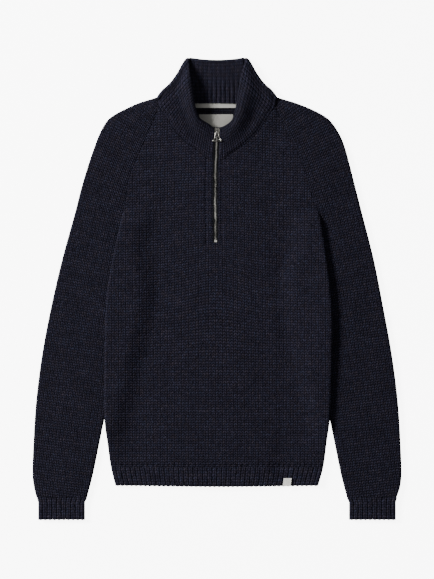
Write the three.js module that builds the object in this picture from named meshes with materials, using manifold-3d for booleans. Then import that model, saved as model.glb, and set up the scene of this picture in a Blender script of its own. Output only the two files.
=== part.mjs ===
// Quarter zip sweater of chunky knit, laid flat, face up, on a level surface.
// Millimetres. X to the right of the wearer's front as seen, Y from hem to collar, Z up.
// The origin lies on the surface, below the middle of the outline.
// Every stretch of cloth is a wall with an outer and an inner face, closed by its rims.
import * as THREE from "three";
import { mergeVertices } from "three/addons/utils/BufferGeometryUtils.js";
import Module from "manifold-3d";

// Driving dimensions
const CLOTH = 3.2; // thickness of the stockinette
const COLLAR_CLOTH = 5.6; // thickness of the doubled rib of the collar
const SEAM_GAP = 0.3; // between neighbouring pieces
const LAYER_GAP = 0.3; // between layers that lie on each other
const SLEEVE_TOP = 7.4; // top of a flattened sleeve over the surface
const SLEEVE_PUFF = 0.8; // how far its middle stands above that
const MIDDLE_TOP = 8.7; // top of the front panel at its lowest level
const CROWN_RISE = 1.5; // extra height of the front beside the zip
const CROWN_HALF_WIDTH = 70;
const TROUGH_DEPTH = 0.7; // the two long soft folds of the front
const TROUGH_HALF_WIDTH = 17;
const FRONT_LIFT = 7.7; // rise of the front where the body lies on the sleeves
const BACK_LIFT = 9; // rise of the back there
const LIFT_RAMP = 42; // width over which both rise
const LIFT_LEAD = 9; // how far inside the sleeve's edge the rise is complete
const NECK_TOP = 11.4; // top of the front at the neck seam
const EDGE_ROUND = 4.6; // radius of a folded edge
const EDGE_RIM = 0.8; // height that is left of a wall at its folded edge
const HEM_SEAM_Y = -319.5;
const HEM_END_Y = -353.5;
const CUFF_SEAM_Y = -374.5;
const CUFF_END_Y = -415;
const RIB_HEIGHT = 0.9;
const HEM_RIBS = 44;
const CUFF_RIBS = 10;
const FLAP_RIBS = 26;
const BACK_RIBS = 24;
const SLIT_BOTTOM_Y = 82.5;
const SLIT_HALF = 5.2;
const CHAIN_WIDTH = 4;
const CHAIN_HEIGHT = 3;
const TAPE_HALF = 14;
const TAPE_COLLAR_HALF = 6.8;
const TAPE_THICK = 1;
const LABEL_THICK = 0.7;

// Outer edge of the sleeves, from the neck down to the cuff seam
const SLEEVE_OUTER = [
  { y: 345.8, left: -108.9, right: 108.9 },
  { y: 342.6, left: -118, right: 118.5 },
  { y: 334.8, left: -143, right: 144 },
  { y: 324, left: -167, right: 171 },
  { y: 313.2, left: -187, right: 192 },
  { y: 302.4, left: -200, right: 206 },
  { y: 280.8, left: -212.5, right: 221 },
  { y: 259.2, left: -221, right: 230.5 },
  { y: 226.8, left: -232, right: 239.5 },
  { y: 183.6, left: -244.8, right: 250.2 },
  { y: 140.4, left: -255.6, right: 261 },
  { y: 54, left: -279, right: 282.6 },
  { y: -32.4, left: -298.8, right: 299.5 },
  { y: -118.8, left: -315, right: 315 },
  { y: -205.2, left: -325.8, right: 325.8 },
  { y: -291.6, left: -331, right: 331 },
  { y: -334.8, left: -332, right: 332 },
  { y: -356.4, left: -329.4, right: 329.4 },
  { y: -374.5, left: -325, right: 323.5 },
];

// Inner edge of the sleeves, which runs under the body below the armpit
const SLEEVE_INNER = [
  { y: 144, left: -169, right: 185 },
  { y: 114, left: -178, right: 190.5 },
  { y: 92, left: -176, right: 184 },
  { y: 66, left: -166, right: 171 },
  { y: 28, left: -157, right: 159 },
  { y: -12, left: -154, right: 155 },
  { y: -54, left: -161, right: 161 },
  { y: -118.8, left: -176.5, right: 176.5 },
  { y: -183.6, left: -191, right: 191 },
  { y: -248.4, left: -205.4, right: 205.4 },
  { y: -291.6, left: -214.2, right: 214.2 },
  { y: -334.8, left: -223.2, right: 223.2 },
  { y: -374.5, left: -233.5, right: 233.5 },
];

// Side edges of the body below the armpit, and its raglan seams above it
const BODY_SIDE = [
  { y: 327.6, left: -104.4, right: 104.4 },
  { y: 295.2, left: -117.5, right: 120 },
  { y: 261, left: -132.8, right: 138.6 },
  { y: 241.2, left: -142.2, right: 148 },
  { y: 217.8, left: -153, right: 156.6 },
  { y: 201.6, left: -159, right: 162 },
  { y: 178.2, left: -163.5, right: 170.5 },
  { y: 145.8, left: -167, right: 181.8 },
  { y: 106.2, left: -176.4, right: 189 },
  { y: 70.2, left: -184.5, right: 194.5 },
  { y: 37.8, left: -190.8, right: 198.6 },
  { y: 0, left: -197, right: 203.2 },
  { y: -64.8, left: -201, right: 207 },
  { y: -154.8, left: -202.5, right: 205.2 },
  { y: -235.8, left: -202.1, right: 202.5 },
  { y: -270, left: -198, right: 198 },
  { y: -319.5, left: -191, right: 191.4 },
  { y: -353.5, left: -182.7, right: 182 },
];

// Front neck seam, from the zip up to the raglan seam
const NECK_SEAM = [
  { x: 0, y: 231.5 },
  { x: 8, y: 231.8 },
  { x: 18, y: 235.5 },
  { x: 32.4, y: 247.5 },
  { x: 53, y: 262.8 },
  { x: 73, y: 281 },
  { x: 85.5, y: 301 },
  { x: 95.4, y: 315.9 },
  { x: 104.4, y: 328.2 },
  { x: 106.5, y: 346 },
];

// Back neck seam, from the middle out to the shoulder
const BACK_NECK_SEAM = [
  { x: 0, y: 336.4 },
  { x: 60, y: 335.4 },
  { x: 90, y: 333.2 },
  { x: 104.6, y: 331.6 },
  { x: 106.5, y: 340 },
];

// Top edge of the collar on each front flap, from the zip up to the corner, with its height
const FLAP_EDGE = [
  { along: 0, leftX: -6.4, leftY: 290.5, rightX: 6.4, rightY: 290.5, z: 11.6 },
  { along: 0.13, leftX: -16.5, leftY: 297.5, rightX: 15.5, rightY: 294.5, z: 13 },
  { along: 0.27, leftX: -31, leftY: 306, rightX: 26.5, rightY: 303.5, z: 15.6 },
  { along: 0.4, leftX: -37.5, leftY: 318.6, rightX: 31.5, rightY: 318.6, z: 18.2 },
  { along: 0.55, leftX: -41.4, leftY: 336.6, rightX: 35.1, rightY: 335, z: 19.6 },
  { along: 0.7, leftX: -44.1, leftY: 358.2, rightX: 38, rightY: 357, z: 18.6 },
  { along: 0.85, leftX: -47.5, leftY: 382, rightX: 42, rightY: 381, z: 15 },
  { along: 1, leftX: -49.5, leftY: 409, rightX: 47.5, rightY: 409, z: 9.4 },
];

// Collar fold at the side, from the shoulder up to the rounded corner: the outline at each height,
// and the level direction in degrees in which the fold faces there
const COLLAR_FOLD = [
  { rise: 0, x: 105.9, y: 346.8, facing: 72 },
  { rise: 0.07, x: 103.8, y: 352, facing: 46 },
  { rise: 0.18, x: 96.8, y: 360, facing: 45 },
  { rise: 0.28, x: 89.6, y: 366, facing: 46 },
  { rise: 0.42, x: 80.5, y: 376.2, facing: 40 },
  { rise: 0.6, x: 71.3, y: 389.6, facing: 33 },
  { rise: 0.78, x: 64.6, y: 401.6, facing: 32 },
  { rise: 0.92, x: 58.6, y: 411, facing: 42 },
  { rise: 1, x: 53.4, y: 415, facing: 58 },
];

// How far the zip lies to the side of the middle
const ZIP_LINE = [
  { y: 78, x: -2.4 },
  { y: 120, x: -2.8 },
  { y: 165, x: -3.3 },
  { y: 212, x: -2.8 },
  { y: 245, x: -1.7 },
  { y: 270, x: -0.4 },
  { y: 280, x: 0 },
];
const ZIP_SHIFT_REACH = 34; // how far from the zip the knit beside it is drawn along

// Top of the zip tape along the zip
const TAPE_TOP = [
  { y: 78, z: 6.5 },
  { y: 190, z: 6.5 },
  { y: 226, z: 5.2 },
  { y: 245, z: 5 },
  { y: 268, z: 6.4 },
  { y: 291, z: 8.1 },
];

// Where the front's two long soft troughs run
const TROUGHS = [
  { y: 200, left: -112, right: 108 },
  { y: 60, left: -120, right: 110 },
  { y: -60, left: -122, right: 115 },
  { y: -180, left: -138, right: 115 },
  { y: -319.5, left: -165, right: 108 },
];

// Shared functions
const lerp = (a, b, t) => a + (b - a) * t;

function smoothstep(low, high, value) {
  const t = THREE.MathUtils.clamp((value - low) / (high - low), 0, 1);
  return t * t * (3 - 2 * t);
}

// A smooth curve through one column of a table, read at any value of its key column
function curveOf(rows, column, key = "y") {
  const sorted = [...rows].sort((a, b) => a[key] - b[key]);
  const xs = sorted.map((row) => row[key]);
  const ys = sorted.map((row) => row[column]);
  const slopes = xs.map((_, i) => {
    const before = Math.max(i - 1, 0);
    const after = Math.min(i + 1, xs.length - 1);
    return (ys[after] - ys[before]) / (xs[after] - xs[before]);
  });
  return (value) => {
    const at = THREE.MathUtils.clamp(value, xs[0], xs[xs.length - 1]);
    let i = xs.findIndex((x) => x > at) - 1;
    if (i < 0) i = xs.length - 2;
    const span = xs[i + 1] - xs[i];
    const t = (at - xs[i]) / span;
    const keep = 2 * t ** 3 - 3 * t ** 2 + 1;
    const lead = (t ** 3 - 2 * t ** 2 + t) * span;
    const tail = (t ** 3 - t ** 2) * span;
    return keep * ys[i] + lead * slopes[i] + (1 - keep) * ys[i + 1] + tail * slopes[i + 1];
  };
}

// A path in plan through points, read at a share of its length
function pathOf(points) {
  const curve = new THREE.CatmullRomCurve3(points, false, "centripetal");
  curve.arcLengthDivisions = 400;
  return (share) => curve.getPointAt(THREE.MathUtils.clamp(share, 0, 1));
}

const plan = (x, y, z = 0) => new THREE.Vector3(x, y, z);

// A closed wall from two equal grids of points: rows of outer points and rows of inner ones.
// A ring closes each row on itself, and hasCell leaves cells out for a slit.
function wallOf(outer, inner, { ring = false, hasCell = () => true } = {}) {
  const rows = outer.length;
  const columns = outer[0].length;
  const cellColumns = ring ? columns : columns - 1;
  const position = [...outer.flat(), ...inner.flat()].flatMap((p) => [p.x, p.y, p.z]);
  const outerAt = (i, j) => i * columns + (j % columns);
  const innerAt = (i, j) => rows * columns + outerAt(i, j);
  const inGrid = (i, j) => i >= 0 && i < rows - 1 && (ring || (j >= 0 && j < cellColumns));
  const present = (i, j) => inGrid(i, j) && hasCell(i, (j + cellColumns) % cellColumns);
  const faces = [];
  const quad = (a, b, c, d) => faces.push(a, b, c, a, c, d);
  for (let i = 0; i < rows - 1; i += 1) {
    for (let j = 0; j < cellColumns; j += 1) {
      if (!present(i, j)) continue;
      quad(outerAt(i, j), outerAt(i, j + 1), outerAt(i + 1, j + 1), outerAt(i + 1, j));
      quad(innerAt(i, j), innerAt(i + 1, j), innerAt(i + 1, j + 1), innerAt(i, j + 1));
      if (!present(i - 1, j)) quad(outerAt(i, j), innerAt(i, j), innerAt(i, j + 1), outerAt(i, j + 1));
      if (!present(i + 1, j)) {
        quad(outerAt(i + 1, j + 1), innerAt(i + 1, j + 1), innerAt(i + 1, j), outerAt(i + 1, j));
      }
      if (!present(i, j - 1)) quad(outerAt(i + 1, j), innerAt(i + 1, j), innerAt(i, j), outerAt(i, j));
      if (!present(i, j + 1)) {
        quad(outerAt(i, j + 1), innerAt(i, j + 1), innerAt(i + 1, j + 1), outerAt(i + 1, j + 1));
      }
    }
  }
  const geometry = new THREE.BufferGeometry();
  geometry.setAttribute("position", new THREE.Float32BufferAttribute(position, 3));
  geometry.setIndex(faces);
  return geometry.toNonIndexed();
}

// A geometry turned inside out where its faces point inwards
function facingOut(geometry) {
  const p = geometry.attributes.position;
  const corner = [plan(0, 0), plan(0, 0), plan(0, 0)];
  let volume = 0;
  for (let i = 0; i < p.count; i += 3) {
    corner.forEach((c, k) => c.fromBufferAttribute(p, i + k));
    volume += corner[0].dot(corner[1].clone().cross(corner[2]));
  }
  if (volume > 0) return geometry;
  for (let i = 0; i < p.count; i += 3) {
    const [x, y, z] = [p.getX(i), p.getY(i), p.getZ(i)];
    p.setXYZ(i, p.getX(i + 1), p.getY(i + 1), p.getZ(i + 1));
    p.setXYZ(i + 1, x, y, z);
  }
  return geometry;
}

const range = (count) => Array.from({ length: count }, (_, i) => i);

// Height of the garment
const side = (x) => (x < 0 ? "left" : "right");
const bodySide = { left: curveOf(BODY_SIDE, "left"), right: curveOf(BODY_SIDE, "right") };
const sleeveInner = { left: curveOf(SLEEVE_INNER, "left"), right: curveOf(SLEEVE_INNER, "right") };
const trough = { left: curveOf(TROUGHS, "left"), right: curveOf(TROUGHS, "right") };
const neckSeamY = curveOf(NECK_SEAM, "y", "x");
const neckSeamX = curveOf(NECK_SEAM, "x");
const backSeamY = curveOf(BACK_NECK_SEAM, "y", "x");
const tapeTop = curveOf(TAPE_TOP, "z");

const zipX = curveOf(ZIP_LINE, "x");

const ARMPIT_Y = 145.8;
const LIFTED_FROM_Y = 116; // the body lies fully on the sleeve below this
const CROTCH_Y = -240; // and above this
const SETTLED_Y = -305; // below this it is down on the surface again

// How far the body is lifted by the sleeve under it, from 0 to 1
function lift(x, y) {
  const inner = Math.abs(sleeveInner[side(x)](y)) - LIFT_LEAD;
  const across = smoothstep(inner - LIFT_RAMP, inner, Math.abs(x));
  const below = 1 - smoothstep(LIFTED_FROM_Y, ARMPIT_Y, y);
  return across * below * smoothstep(SETTLED_Y, CROTCH_Y, y);
}

// A place beside the zip, drawn along with it
const besideZip = (x, y) => x + zipX(y) * Math.exp(-((x / ZIP_SHIFT_REACH) ** 2));

const TROUGH_FADE = { from: 110, to: 210 };

function troughAt(x, y) {
  const off = (x - trough[side(x)](y)) / TROUGH_HALF_WIDTH;
  const fade = 1 - smoothstep(TROUGH_FADE.from, TROUGH_FADE.to, y);
  return TROUGH_DEPTH * Math.exp(-off * off) * fade;
}

function crown(x) {
  return CROWN_RISE * Math.exp(-((x / CROWN_HALF_WIDTH) ** 2));
}

// Rise of the front towards the thick neck seam
const NECK_RISE_REACH = 60;

function neckRise(x, y) {
  return smoothstep(-NECK_RISE_REACH, 0, y - neckSeamY(Math.abs(x)));
}

// Top of the front as it lies where no sleeve is under it
function levelTop(x, y) {
  const plain = MIDDLE_TOP + crown(x) - troughAt(x, y);
  return lerp(plain, NECK_TOP, neckRise(x, y));
}

const frontTop = (x, y) => levelTop(x, y) + FRONT_LIFT * lift(x, y);

const backTop = (x, y) => CLOTH + BACK_LIFT * lift(x, y);

// Share of the wall's height that is left at a distance from a folded edge
function roundShare(distance) {
  const t = 1 - THREE.MathUtils.clamp(distance / EDGE_ROUND, 0, 1);
  return Math.sqrt(1 - t * t);
}

// Columns of the front and back: shares of the way from the middle to the edge,
// then the distances from the edge over which it rounds down, closer on a narrow row
const FRONT_SHARES = [0, 0.1, 0.26, 0.42, 0.52, 0.61, 0.7, 0.78, 0.87];
const BACK_SHARES = [0, 0.5, 0.62, 0.7, 0.78, 0.87];
const EDGE_DISTANCES = [EDGE_ROUND, 1.4, 0];
const NARROWEST_EDGE = 0.08; // share of the row that the edge columns take at most
const FULL_HEIGHT = 99; // a distance from the edge at which nothing is rounded

function rowAcross(from, to, shares) {
  const width = to - from;
  const edge = Math.min(EDGE_ROUND, width * NARROWEST_EDGE);
  const squeeze = Math.min((1 - edge / width) / (1 - NARROWEST_EDGE / 2), 1);
  return [
    ...shares.map((share) => ({ x: from + width * share * squeeze, off: FULL_HEIGHT })),
    ...EDGE_DISTANCES.map((distance) => {
      const off = (distance * edge) / EDGE_ROUND;
      return { x: to - off, off };
    }),
  ];
}

// Share of the wall that is left near the sides, which are folds below the armpits only
const FOLD_ENDS = { from: ARMPIT_Y - 12, to: ARMPIT_Y + 6 };

function wallHeight(y, off) {
  const folded = 1 - smoothstep(FOLD_ENDS.from, FOLD_ENDS.to, y);
  return EDGE_RIM + (CLOTH - EDGE_RIM) * lerp(1, roundShare(off), folded);
}

// Both faces of the front at one place, rounded down towards a folded edge
function frontPoints(x, y, off) {
  const top = frontTop(x, y);
  const under = top - CLOTH;
  return [plan(x, y, under + wallHeight(y, off)), plan(x, y, under)];
}

function backPoints(x, y, off) {
  const top = backTop(x, y);
  return [plan(x, y, top), plan(x, y, top - wallHeight(y, off))];
}

// A panel from rows of y: its middle may be open over a slit or a neckline
function panel(rows, shares, edgeGap, innerX, points, hasMiddle) {
  const outer = [];
  const inner = [];
  for (const y of rows) {
    const from = innerX(y);
    const half = (name) => rowAcross(from, Math.abs(bodySide[name](y)) - edgeGap, shares);
    const leftHalf = half("left").reverse().map(({ x, off }) => points(-x, y, off));
    const rightHalf = half("right").map(({ x, off }) => points(x, y, off));
    const row = [...leftHalf, ...rightHalf];
    outer.push(row.map(([top]) => top));
    inner.push(row.map(([, under]) => under));
  }
  const middle = outer[0].length / 2 - 1;
  const hasCell = (i, j) => j !== middle || hasMiddle(rows[i], rows[i + 1]);
  return facingOut(wallOf(outer, inner, { hasCell }));
}

const NECK_LOW_Y = 231.4; // lowest point of the front neck seam
const FRONT_ROWS = [
  HEM_SEAM_Y + SEAM_GAP, -300, -272, -244, -210, -165, -114, -64, -14, 30, 60, SLIT_BOTTOM_Y, 100,
  116, 125, 136, 146, 164, 184, 206, 222, 231.2, 233, 239, 248, 258, 270, 284, 299, 313, 325,
];

// The front panel, open over the zip
function frontBody() {
  const innerX = (y) => (y > NECK_LOW_Y ? neckSeamX(y) + SEAM_GAP : SLIT_HALF);
  const hasMiddle = (low, high) => high <= SLIT_BOTTOM_Y;
  const points = (x, y, off) => frontPoints(besideZip(x, y), y, off);
  return panel(FRONT_ROWS, FRONT_SHARES, SEAM_GAP / 2, innerX, points, hasMiddle);
}

const BACK_TOP_Y = 326;
const BACK_ROWS = [
  HEM_SEAM_Y + SEAM_GAP, -280, -240, -184, -114, -38, 20, 56, 82, 100, 116, 125, 136, 146, 164,
  184, 206, 231, 258, 284, 305, BACK_TOP_Y,
];
const RAGLAN_TOP_X = 104.6;
const NECK_ROW_GAP = 0.6;
const BACK_EDGE_GAP = 1.3;

// The back panel: its last row follows the neck seam, the others run straight across
function backBody() {
  const points = (x, y, off) => {
    const share = smoothstep(300, BACK_TOP_Y, y);
    const limit = backSeamY(Math.min(Math.abs(x), RAGLAN_TOP_X)) - NECK_ROW_GAP;
    return backPoints(x, y + share * (limit - BACK_TOP_Y), off);
  };
  return panel(BACK_ROWS, BACK_SHARES, BACK_EDGE_GAP, () => SLIT_HALF, points, () => true);
}

// Sleeves
const SLEEVE_ROWS = [0, 0.07, 0.16, 0.28, 0.4, 0.52, 0.63, 0.72, 0.8, 0.86, 0.91, 0.95, 0.98, 1];
const SLEEVE_SHARES = [0.09, 0.19, 0.3, 0.42, 0.54, 0.66, 0.78, 0.86, 0.92];
const RAGLAN_GAP = 0.9; // in x, so that the slanted seam stays open
const RAGLAN_TOP_Y = 327.6;
const RAGLAN_POINTS = 14;
const SLEEVE_NECK_END = [
  { x: 107.2, y: 336.5 },
  { x: 108.9, y: 345.8 },
];

// The sleeve's own plan: across runs from the inner edge to the outer one, along from cuff to neck
function sleevePlan(name) {
  const points = (rows) => rows.map((row) => plan(row[name], row.y));
  const outerEdge = pathOf(points([...SLEEVE_OUTER].reverse()));
  const innerEdge = pathOf(points([...SLEEVE_INNER].reverse()));
  const sign = name === "left" ? -1 : 1;
  const seam = range(RAGLAN_POINTS).map((k) => {
    const y = lerp(ARMPIT_Y, RAGLAN_TOP_Y, k / (RAGLAN_POINTS - 1));
    return plan(bodySide[name](y) + sign * RAGLAN_GAP, y);
  });
  const neckEnd = SLEEVE_NECK_END.map((row) => plan(sign * row.x, row.y));
  const top = pathOf([...seam, ...neckEnd]);
  return (across, along) => {
    const low = innerEdge(along);
    const high = outerEdge(along);
    const chord = innerEdge(1).lerp(outerEdge(1), across);
    const bulge = top(across).sub(chord).multiplyScalar(along ** 3);
    return low.lerp(high, across).add(bulge);
  };
}

// A flattened tube between two edges: rings of outer points over a plain slit
const TUBE_EDGE_SHARE = 0.12; // share of a tube's height that is left at its very edge
const TUBE_HOLLOW = { least: 0.3, inset: 2.2, slant: 0.35 }; // the slit inside, in mm
function flatTube(alongs, at, topAt, { shares, ribs = 0 }) {
  const outer = [];
  const inner = [];
  for (const along of alongs) {
    const width = at(0, along).distanceTo(at(1, along));
    const rounding = [...EDGE_DISTANCES].reverse().map((distance) => distance / width);
    const across = [...rounding, ...shares, ...rounding.map((r) => 1 - r).reverse()];
    const tops = [];
    const bottoms = [];
    const innerTops = [];
    const innerBottoms = [];
    across.forEach((share, k) => {
      const off = Math.min(share, 1 - share) * width;
      const full = topAt(share, along);
      const middle = full / 2;
      const round = Math.max(roundShare(off), TUBE_EDGE_SHARE);
      const rib = ribs && k % 2 === 1 ? RIB_HEIGHT * round : 0;
      const place = at(share, along);
      tops.push(place.clone().setZ(middle + middle * round + rib));
      bottoms.push(place.clone().setZ(middle - middle * round));
      const rounded = off < EDGE_ROUND;
      const inset = CLOTH + (rounded ? off * TUBE_HOLLOW.slant : Math.max(off - CLOTH, TUBE_HOLLOW.inset));
      const insetShare = share < 0.5 ? inset / width : 1 - inset / width;
      const narrowed = Math.min(1, TUBE_HOLLOW.least + off / EDGE_ROUND);
      const hollow = Math.max(middle - CLOTH, TUBE_HOLLOW.least) * narrowed;
      const core = at(insetShare, along);
      innerTops.push(core.clone().setZ(middle + hollow));
      innerBottoms.push(core.clone().setZ(middle - hollow));
    });
    outer.push([...tops, ...bottoms.reverse()]);
    inner.push([...innerTops, ...innerBottoms.reverse()]);
  }
  return facingOut(wallOf(outer, inner, { ring: true }));
}

// A sleeve's top: it nears the front's level on its last stretch, up to its seam
const SLEEVE_MEETS_FRONT = 0.72;

function sleeveTop(across, along, place) {
  const plain = SLEEVE_TOP + SLEEVE_PUFF * 4 * across * (1 - across);
  const seam = lerp(levelTop(place.x, place.y), SLEEVE_TOP, smoothstep(0.85, 1, across));
  return lerp(plain, seam, smoothstep(SLEEVE_MEETS_FRONT, 1, along));
}

function sleeve(name) {
  const at = sleevePlan(name);
  const topAt = (across, along) => sleeveTop(across, along, at(across, along));
  return flatTube(SLEEVE_ROWS, at, topAt, { shares: SLEEVE_SHARES });
}

// Rows along a rib: its ends, where it fades, and its full height between them
const RIB_ROWS = [0, 0.07, 0.93, 1];

// A cuff: the inner and outer edges pull in slightly below the seam
const CUFF_EDGES = [
  { along: 0, inner: 237.5, outer: 322 },
  { along: 0.5, inner: 237.2, outer: 321.4 },
  { along: 1, inner: 233.6, outer: 324 },
];

const CUFF_RIBS_FROM = 0.08; // share of the cuff's width at which the first rib begins

function cuff(name) {
  const sign = name === "left" ? -1 : 1;
  const innerEdge = curveOf(CUFF_EDGES, "inner", "along");
  const outerEdge = curveOf(CUFF_EDGES, "outer", "along");
  const at = (across, along) => {
    const x = lerp(innerEdge(along), outerEdge(along), across);
    return plan(sign * x, lerp(CUFF_END_Y, CUFF_SEAM_Y - SEAM_GAP, along));
  };
  const steps = 2 * CUFF_RIBS - 2;
  const shares = range(steps + 1).map((k) => lerp(CUFF_RIBS_FROM, 1 - CUFF_RIBS_FROM, k / steps));
  return flatTube(RIB_ROWS, at, () => SLEEVE_TOP, { shares, ribs: CUFF_RIBS });
}

// Hem: the ribs stand up from the front, and the back lies plain on the surface
const HEM_PLAIN_COLUMNS = 10;
const RIB_END_SHARE = 0.35; // height that a rib has left at its ends

function hem(top, thickness, ribs, offsetAt) {
  const outer = [];
  const inner = [];
  const count = ribs ? 2 * ribs : HEM_PLAIN_COLUMNS;
  const nearEdge = EDGE_DISTANCES[1];
  for (const along of RIB_ROWS) {
    const y = lerp(HEM_END_Y, HEM_SEAM_Y, along);
    const from = bodySide.left(y) + SEAM_GAP / 2;
    const to = bodySide.right(y) - SEAM_GAP / 2;
    const ends = range(count + 1).map((k) => lerp(from + EDGE_ROUND, to - EDGE_ROUND, k / count));
    const xs = [from, from + nearEdge, ...ends, to - nearEdge, to];
    const fade = along === 0 || along === 1 ? RIB_END_SHARE : 1;
    const points = xs.map((x, k) => {
      const rib = ribs && k % 2 === 1 ? RIB_HEIGHT * fade : 0;
      return offsetAt(x, y, Math.min(x - from, to - x), top(x, y), thickness, rib);
    });
    outer.push(points.map(([high]) => high));
    inner.push(points.map(([, low]) => low));
  }
  return facingOut(wallOf(outer, inner));
}

function hemFront() {
  const points = (x, y, off, top, thickness, rib) => {
    const under = top - thickness;
    const height = EDGE_RIM + (thickness - EDGE_RIM) * roundShare(off);
    return [plan(x, y, under + height + rib * roundShare(off)), plan(x, y, under)];
  };
  return hem(frontTop, CLOTH, HEM_RIBS, points);
}

function hemBack() {
  const points = (x, y, off, top, thickness) => {
    const height = EDGE_RIM + (thickness - EDGE_RIM) * roundShare(off);
    return [plan(x, y, top), plan(x, y, top - height)];
  };
  return hem(backTop, CLOTH, 0, points);
}

// Collar: one strip from the left side of the zip round the back to the right side
const COLLAR_RISES = [0, 0.1, 0.3, 0.48, 0.68, 0.9, 1];
const COLLAR_BACK_MID = COLLAR_CLOTH / 2;
const COLLAR_FOLD_RADIUS = 3.7; // of the strip's middle at the side folds
const COLLAR_SEAM_MID = 8.8; // height of the strip's middle at the front neck seam
const COLLAR_SHOULDER_RISE = 1.6; // how much higher it is near the shoulder
const COLLAR_SEAM_SHIFT = 0.4; // keeps its edge clear of the panels
const FLAP_VALLEY = 1.5; // depth of the soft valley behind the rolled edge
const FLAP_ROLL = 1.6; // rise of the rolled edge itself

const foldX = curveOf(COLLAR_FOLD, "x", "rise");
const foldY = curveOf(COLLAR_FOLD, "y", "rise");
const foldFacing = curveOf(COLLAR_FOLD, "facing", "rise");
const COLLAR_BACK_TOP = { middle: 408.4, rise: 4, reach: 46 }; // its top edge dips in the middle
const FOLD_BLEND = 0.8; // share of the flap from which it turns into the fold
const FOLD_STRETCH = 34; // how fast its columns run into the fold
const FOLD_STEPS = 4;

// The level direction in which the fold faces at one height
function foldOut(sign, rise) {
  const angle = THREE.MathUtils.degToRad(foldFacing(rise));
  return plan(sign * Math.cos(angle), Math.sin(angle));
}

function flapPlan(name) {
  const sign = name === "left" ? -1 : 1;
  const shift = COLLAR_SEAM_SHIFT;
  const seam = pathOf(NECK_SEAM.slice(1).map((row) => plan(sign * (row.x - shift), row.y + shift)));
  const edgeX = curveOf(FLAP_EDGE, `${name}X`, "along");
  const edgeY = curveOf(FLAP_EDGE, `${name}Y`, "along");
  const edgeZ = curveOf(FLAP_EDGE, "z", "along");
  return (along, rise) => {
    const low = seam(along);
    low.z = COLLAR_SEAM_MID + COLLAR_SHOULDER_RISE * smoothstep(0.3, 0.8, along);
    if (along === 0) low.x = sign * SLIT_HALF;
    const high = plan(edgeX(along), edgeY(along), edgeZ(along));
    const place = low.clone().lerp(high, rise);
    place.x = besideZip(place.x, place.y);
    const climb = smoothstep(0.05, 0.9, rise);
    const middle = Math.sin(Math.PI * along);
    const valley = FLAP_VALLEY * middle * Math.exp(-(((rise - 0.42) / 0.17) ** 2));
    const roll = FLAP_ROLL * middle * Math.exp(-(((rise - 0.82) / 0.16) ** 2));
    place.z = lerp(low.z, high.z, climb) - valley + roll;
    return place;
  };
}

// The strip's middle at a column, from the zip (0) over the side fold to the middle of the back
function collarColumns(name) {
  const sign = name === "left" ? -1 : 1;
  const flap = flapPlan(name);
  const backSeam = pathOf([...BACK_NECK_SEAM].reverse().map((row) => plan(sign * row.x, row.y)));
  const columns = [];
  const flapCount = 2 * FLAP_RIBS;
  const foldCentre = (rise) => {
    const reach = COLLAR_FOLD_RADIUS + COLLAR_CLOTH / 2;
    return plan(sign * foldX(rise), foldY(rise)).addScaledVector(foldOut(sign, rise), -reach);
  };
  const foldMid = COLLAR_BACK_MID + COLLAR_FOLD_RADIUS;
  range(flapCount).forEach((k) => {
    const along = k / flapCount;
    const blend = smoothstep(FOLD_BLEND, 1, along);
    columns.push((rise) => {
      const folded = foldCentre(rise).setZ(foldMid + COLLAR_FOLD_RADIUS);
      folded.addScaledVector(foldOut(sign, rise), -(1 - along) * FOLD_STRETCH);
      return flap(along, rise).lerp(folded, blend);
    });
  });
  range(FOLD_STEPS + 1).forEach((k) => {
    const angle = Math.PI * (0.5 - k / FOLD_STEPS);
    columns.push((rise) => {
      const place = foldCentre(rise);
      place.addScaledVector(foldOut(sign, rise), COLLAR_FOLD_RADIUS * Math.cos(angle));
      return place.setZ(foldMid + COLLAR_FOLD_RADIUS * Math.sin(angle));
    });
  });
  const { middle, rise: topRise, reach: topReach } = COLLAR_BACK_TOP;
  range(BACK_RIBS).forEach((k) => {
    const along = (k + 1) / BACK_RIBS;
    columns.push((rise) => {
      const start = foldCentre(rise);
      const x = lerp(start.x, 0, along);
      const topY = middle + topRise * Math.min(Math.abs(x) / topReach, 1) ** 2;
      const endY = lerp(backSeam(along).y, topY, rise);
      return plan(x, lerp(start.y, endY, smoothstep(0, 0.35, along)), COLLAR_BACK_MID);
    });
  });
  return columns;
}

function collar() {
  const left = collarColumns("left");
  const right = collarColumns("right");
  const columns = [...left, ...right.slice(0, -1).reverse()];
  const flapCount = 2 * FLAP_RIBS;
  const mid = COLLAR_RISES.map((rise) => columns.map((column) => column(rise)));
  const outer = [];
  const inner = [];
  mid.forEach((row, i) => {
    const rise = COLLAR_RISES[i];
    const thin = rise === 1 ? 0.5 : 1;
    const fade = rise === 0 || rise >= 0.9 ? RIB_END_SHARE : 1;
    const outerRow = [];
    const innerRow = [];
    row.forEach((point, j) => {
      const before = row[Math.max(j - 1, 0)];
      const after = row[Math.min(j + 1, row.length - 1)];
      const below = mid[Math.max(i - 1, 0)][j];
      const above = mid[Math.min(i + 1, mid.length - 1)][j];
      const normal = after.clone().sub(before).cross(above.clone().sub(below)).normalize();
      const onFlap = j < flapCount || j >= row.length - flapCount;
      const onBack = j > flapCount + FOLD_STEPS && j < row.length - flapCount - FOLD_STEPS - 1;
      const rib = j % 2 === 1 ? RIB_HEIGHT * fade : 0;
      const half = (COLLAR_CLOTH / 2) * thin;
      const outerPoint = point.clone().addScaledVector(normal, half + (onBack ? rib : 0));
      const innerPoint = point.clone().addScaledVector(normal, -half - (onFlap ? rib : 0));
      outerRow.push(outerPoint.setZ(Math.max(outerPoint.z, 0)));
      innerRow.push(innerPoint.setZ(Math.max(innerPoint.z, 0)));
    });
    outer.push(outerRow);
    inner.push(innerRow);
  });
  return facingOut(wallOf(outer, inner));
}

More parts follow.
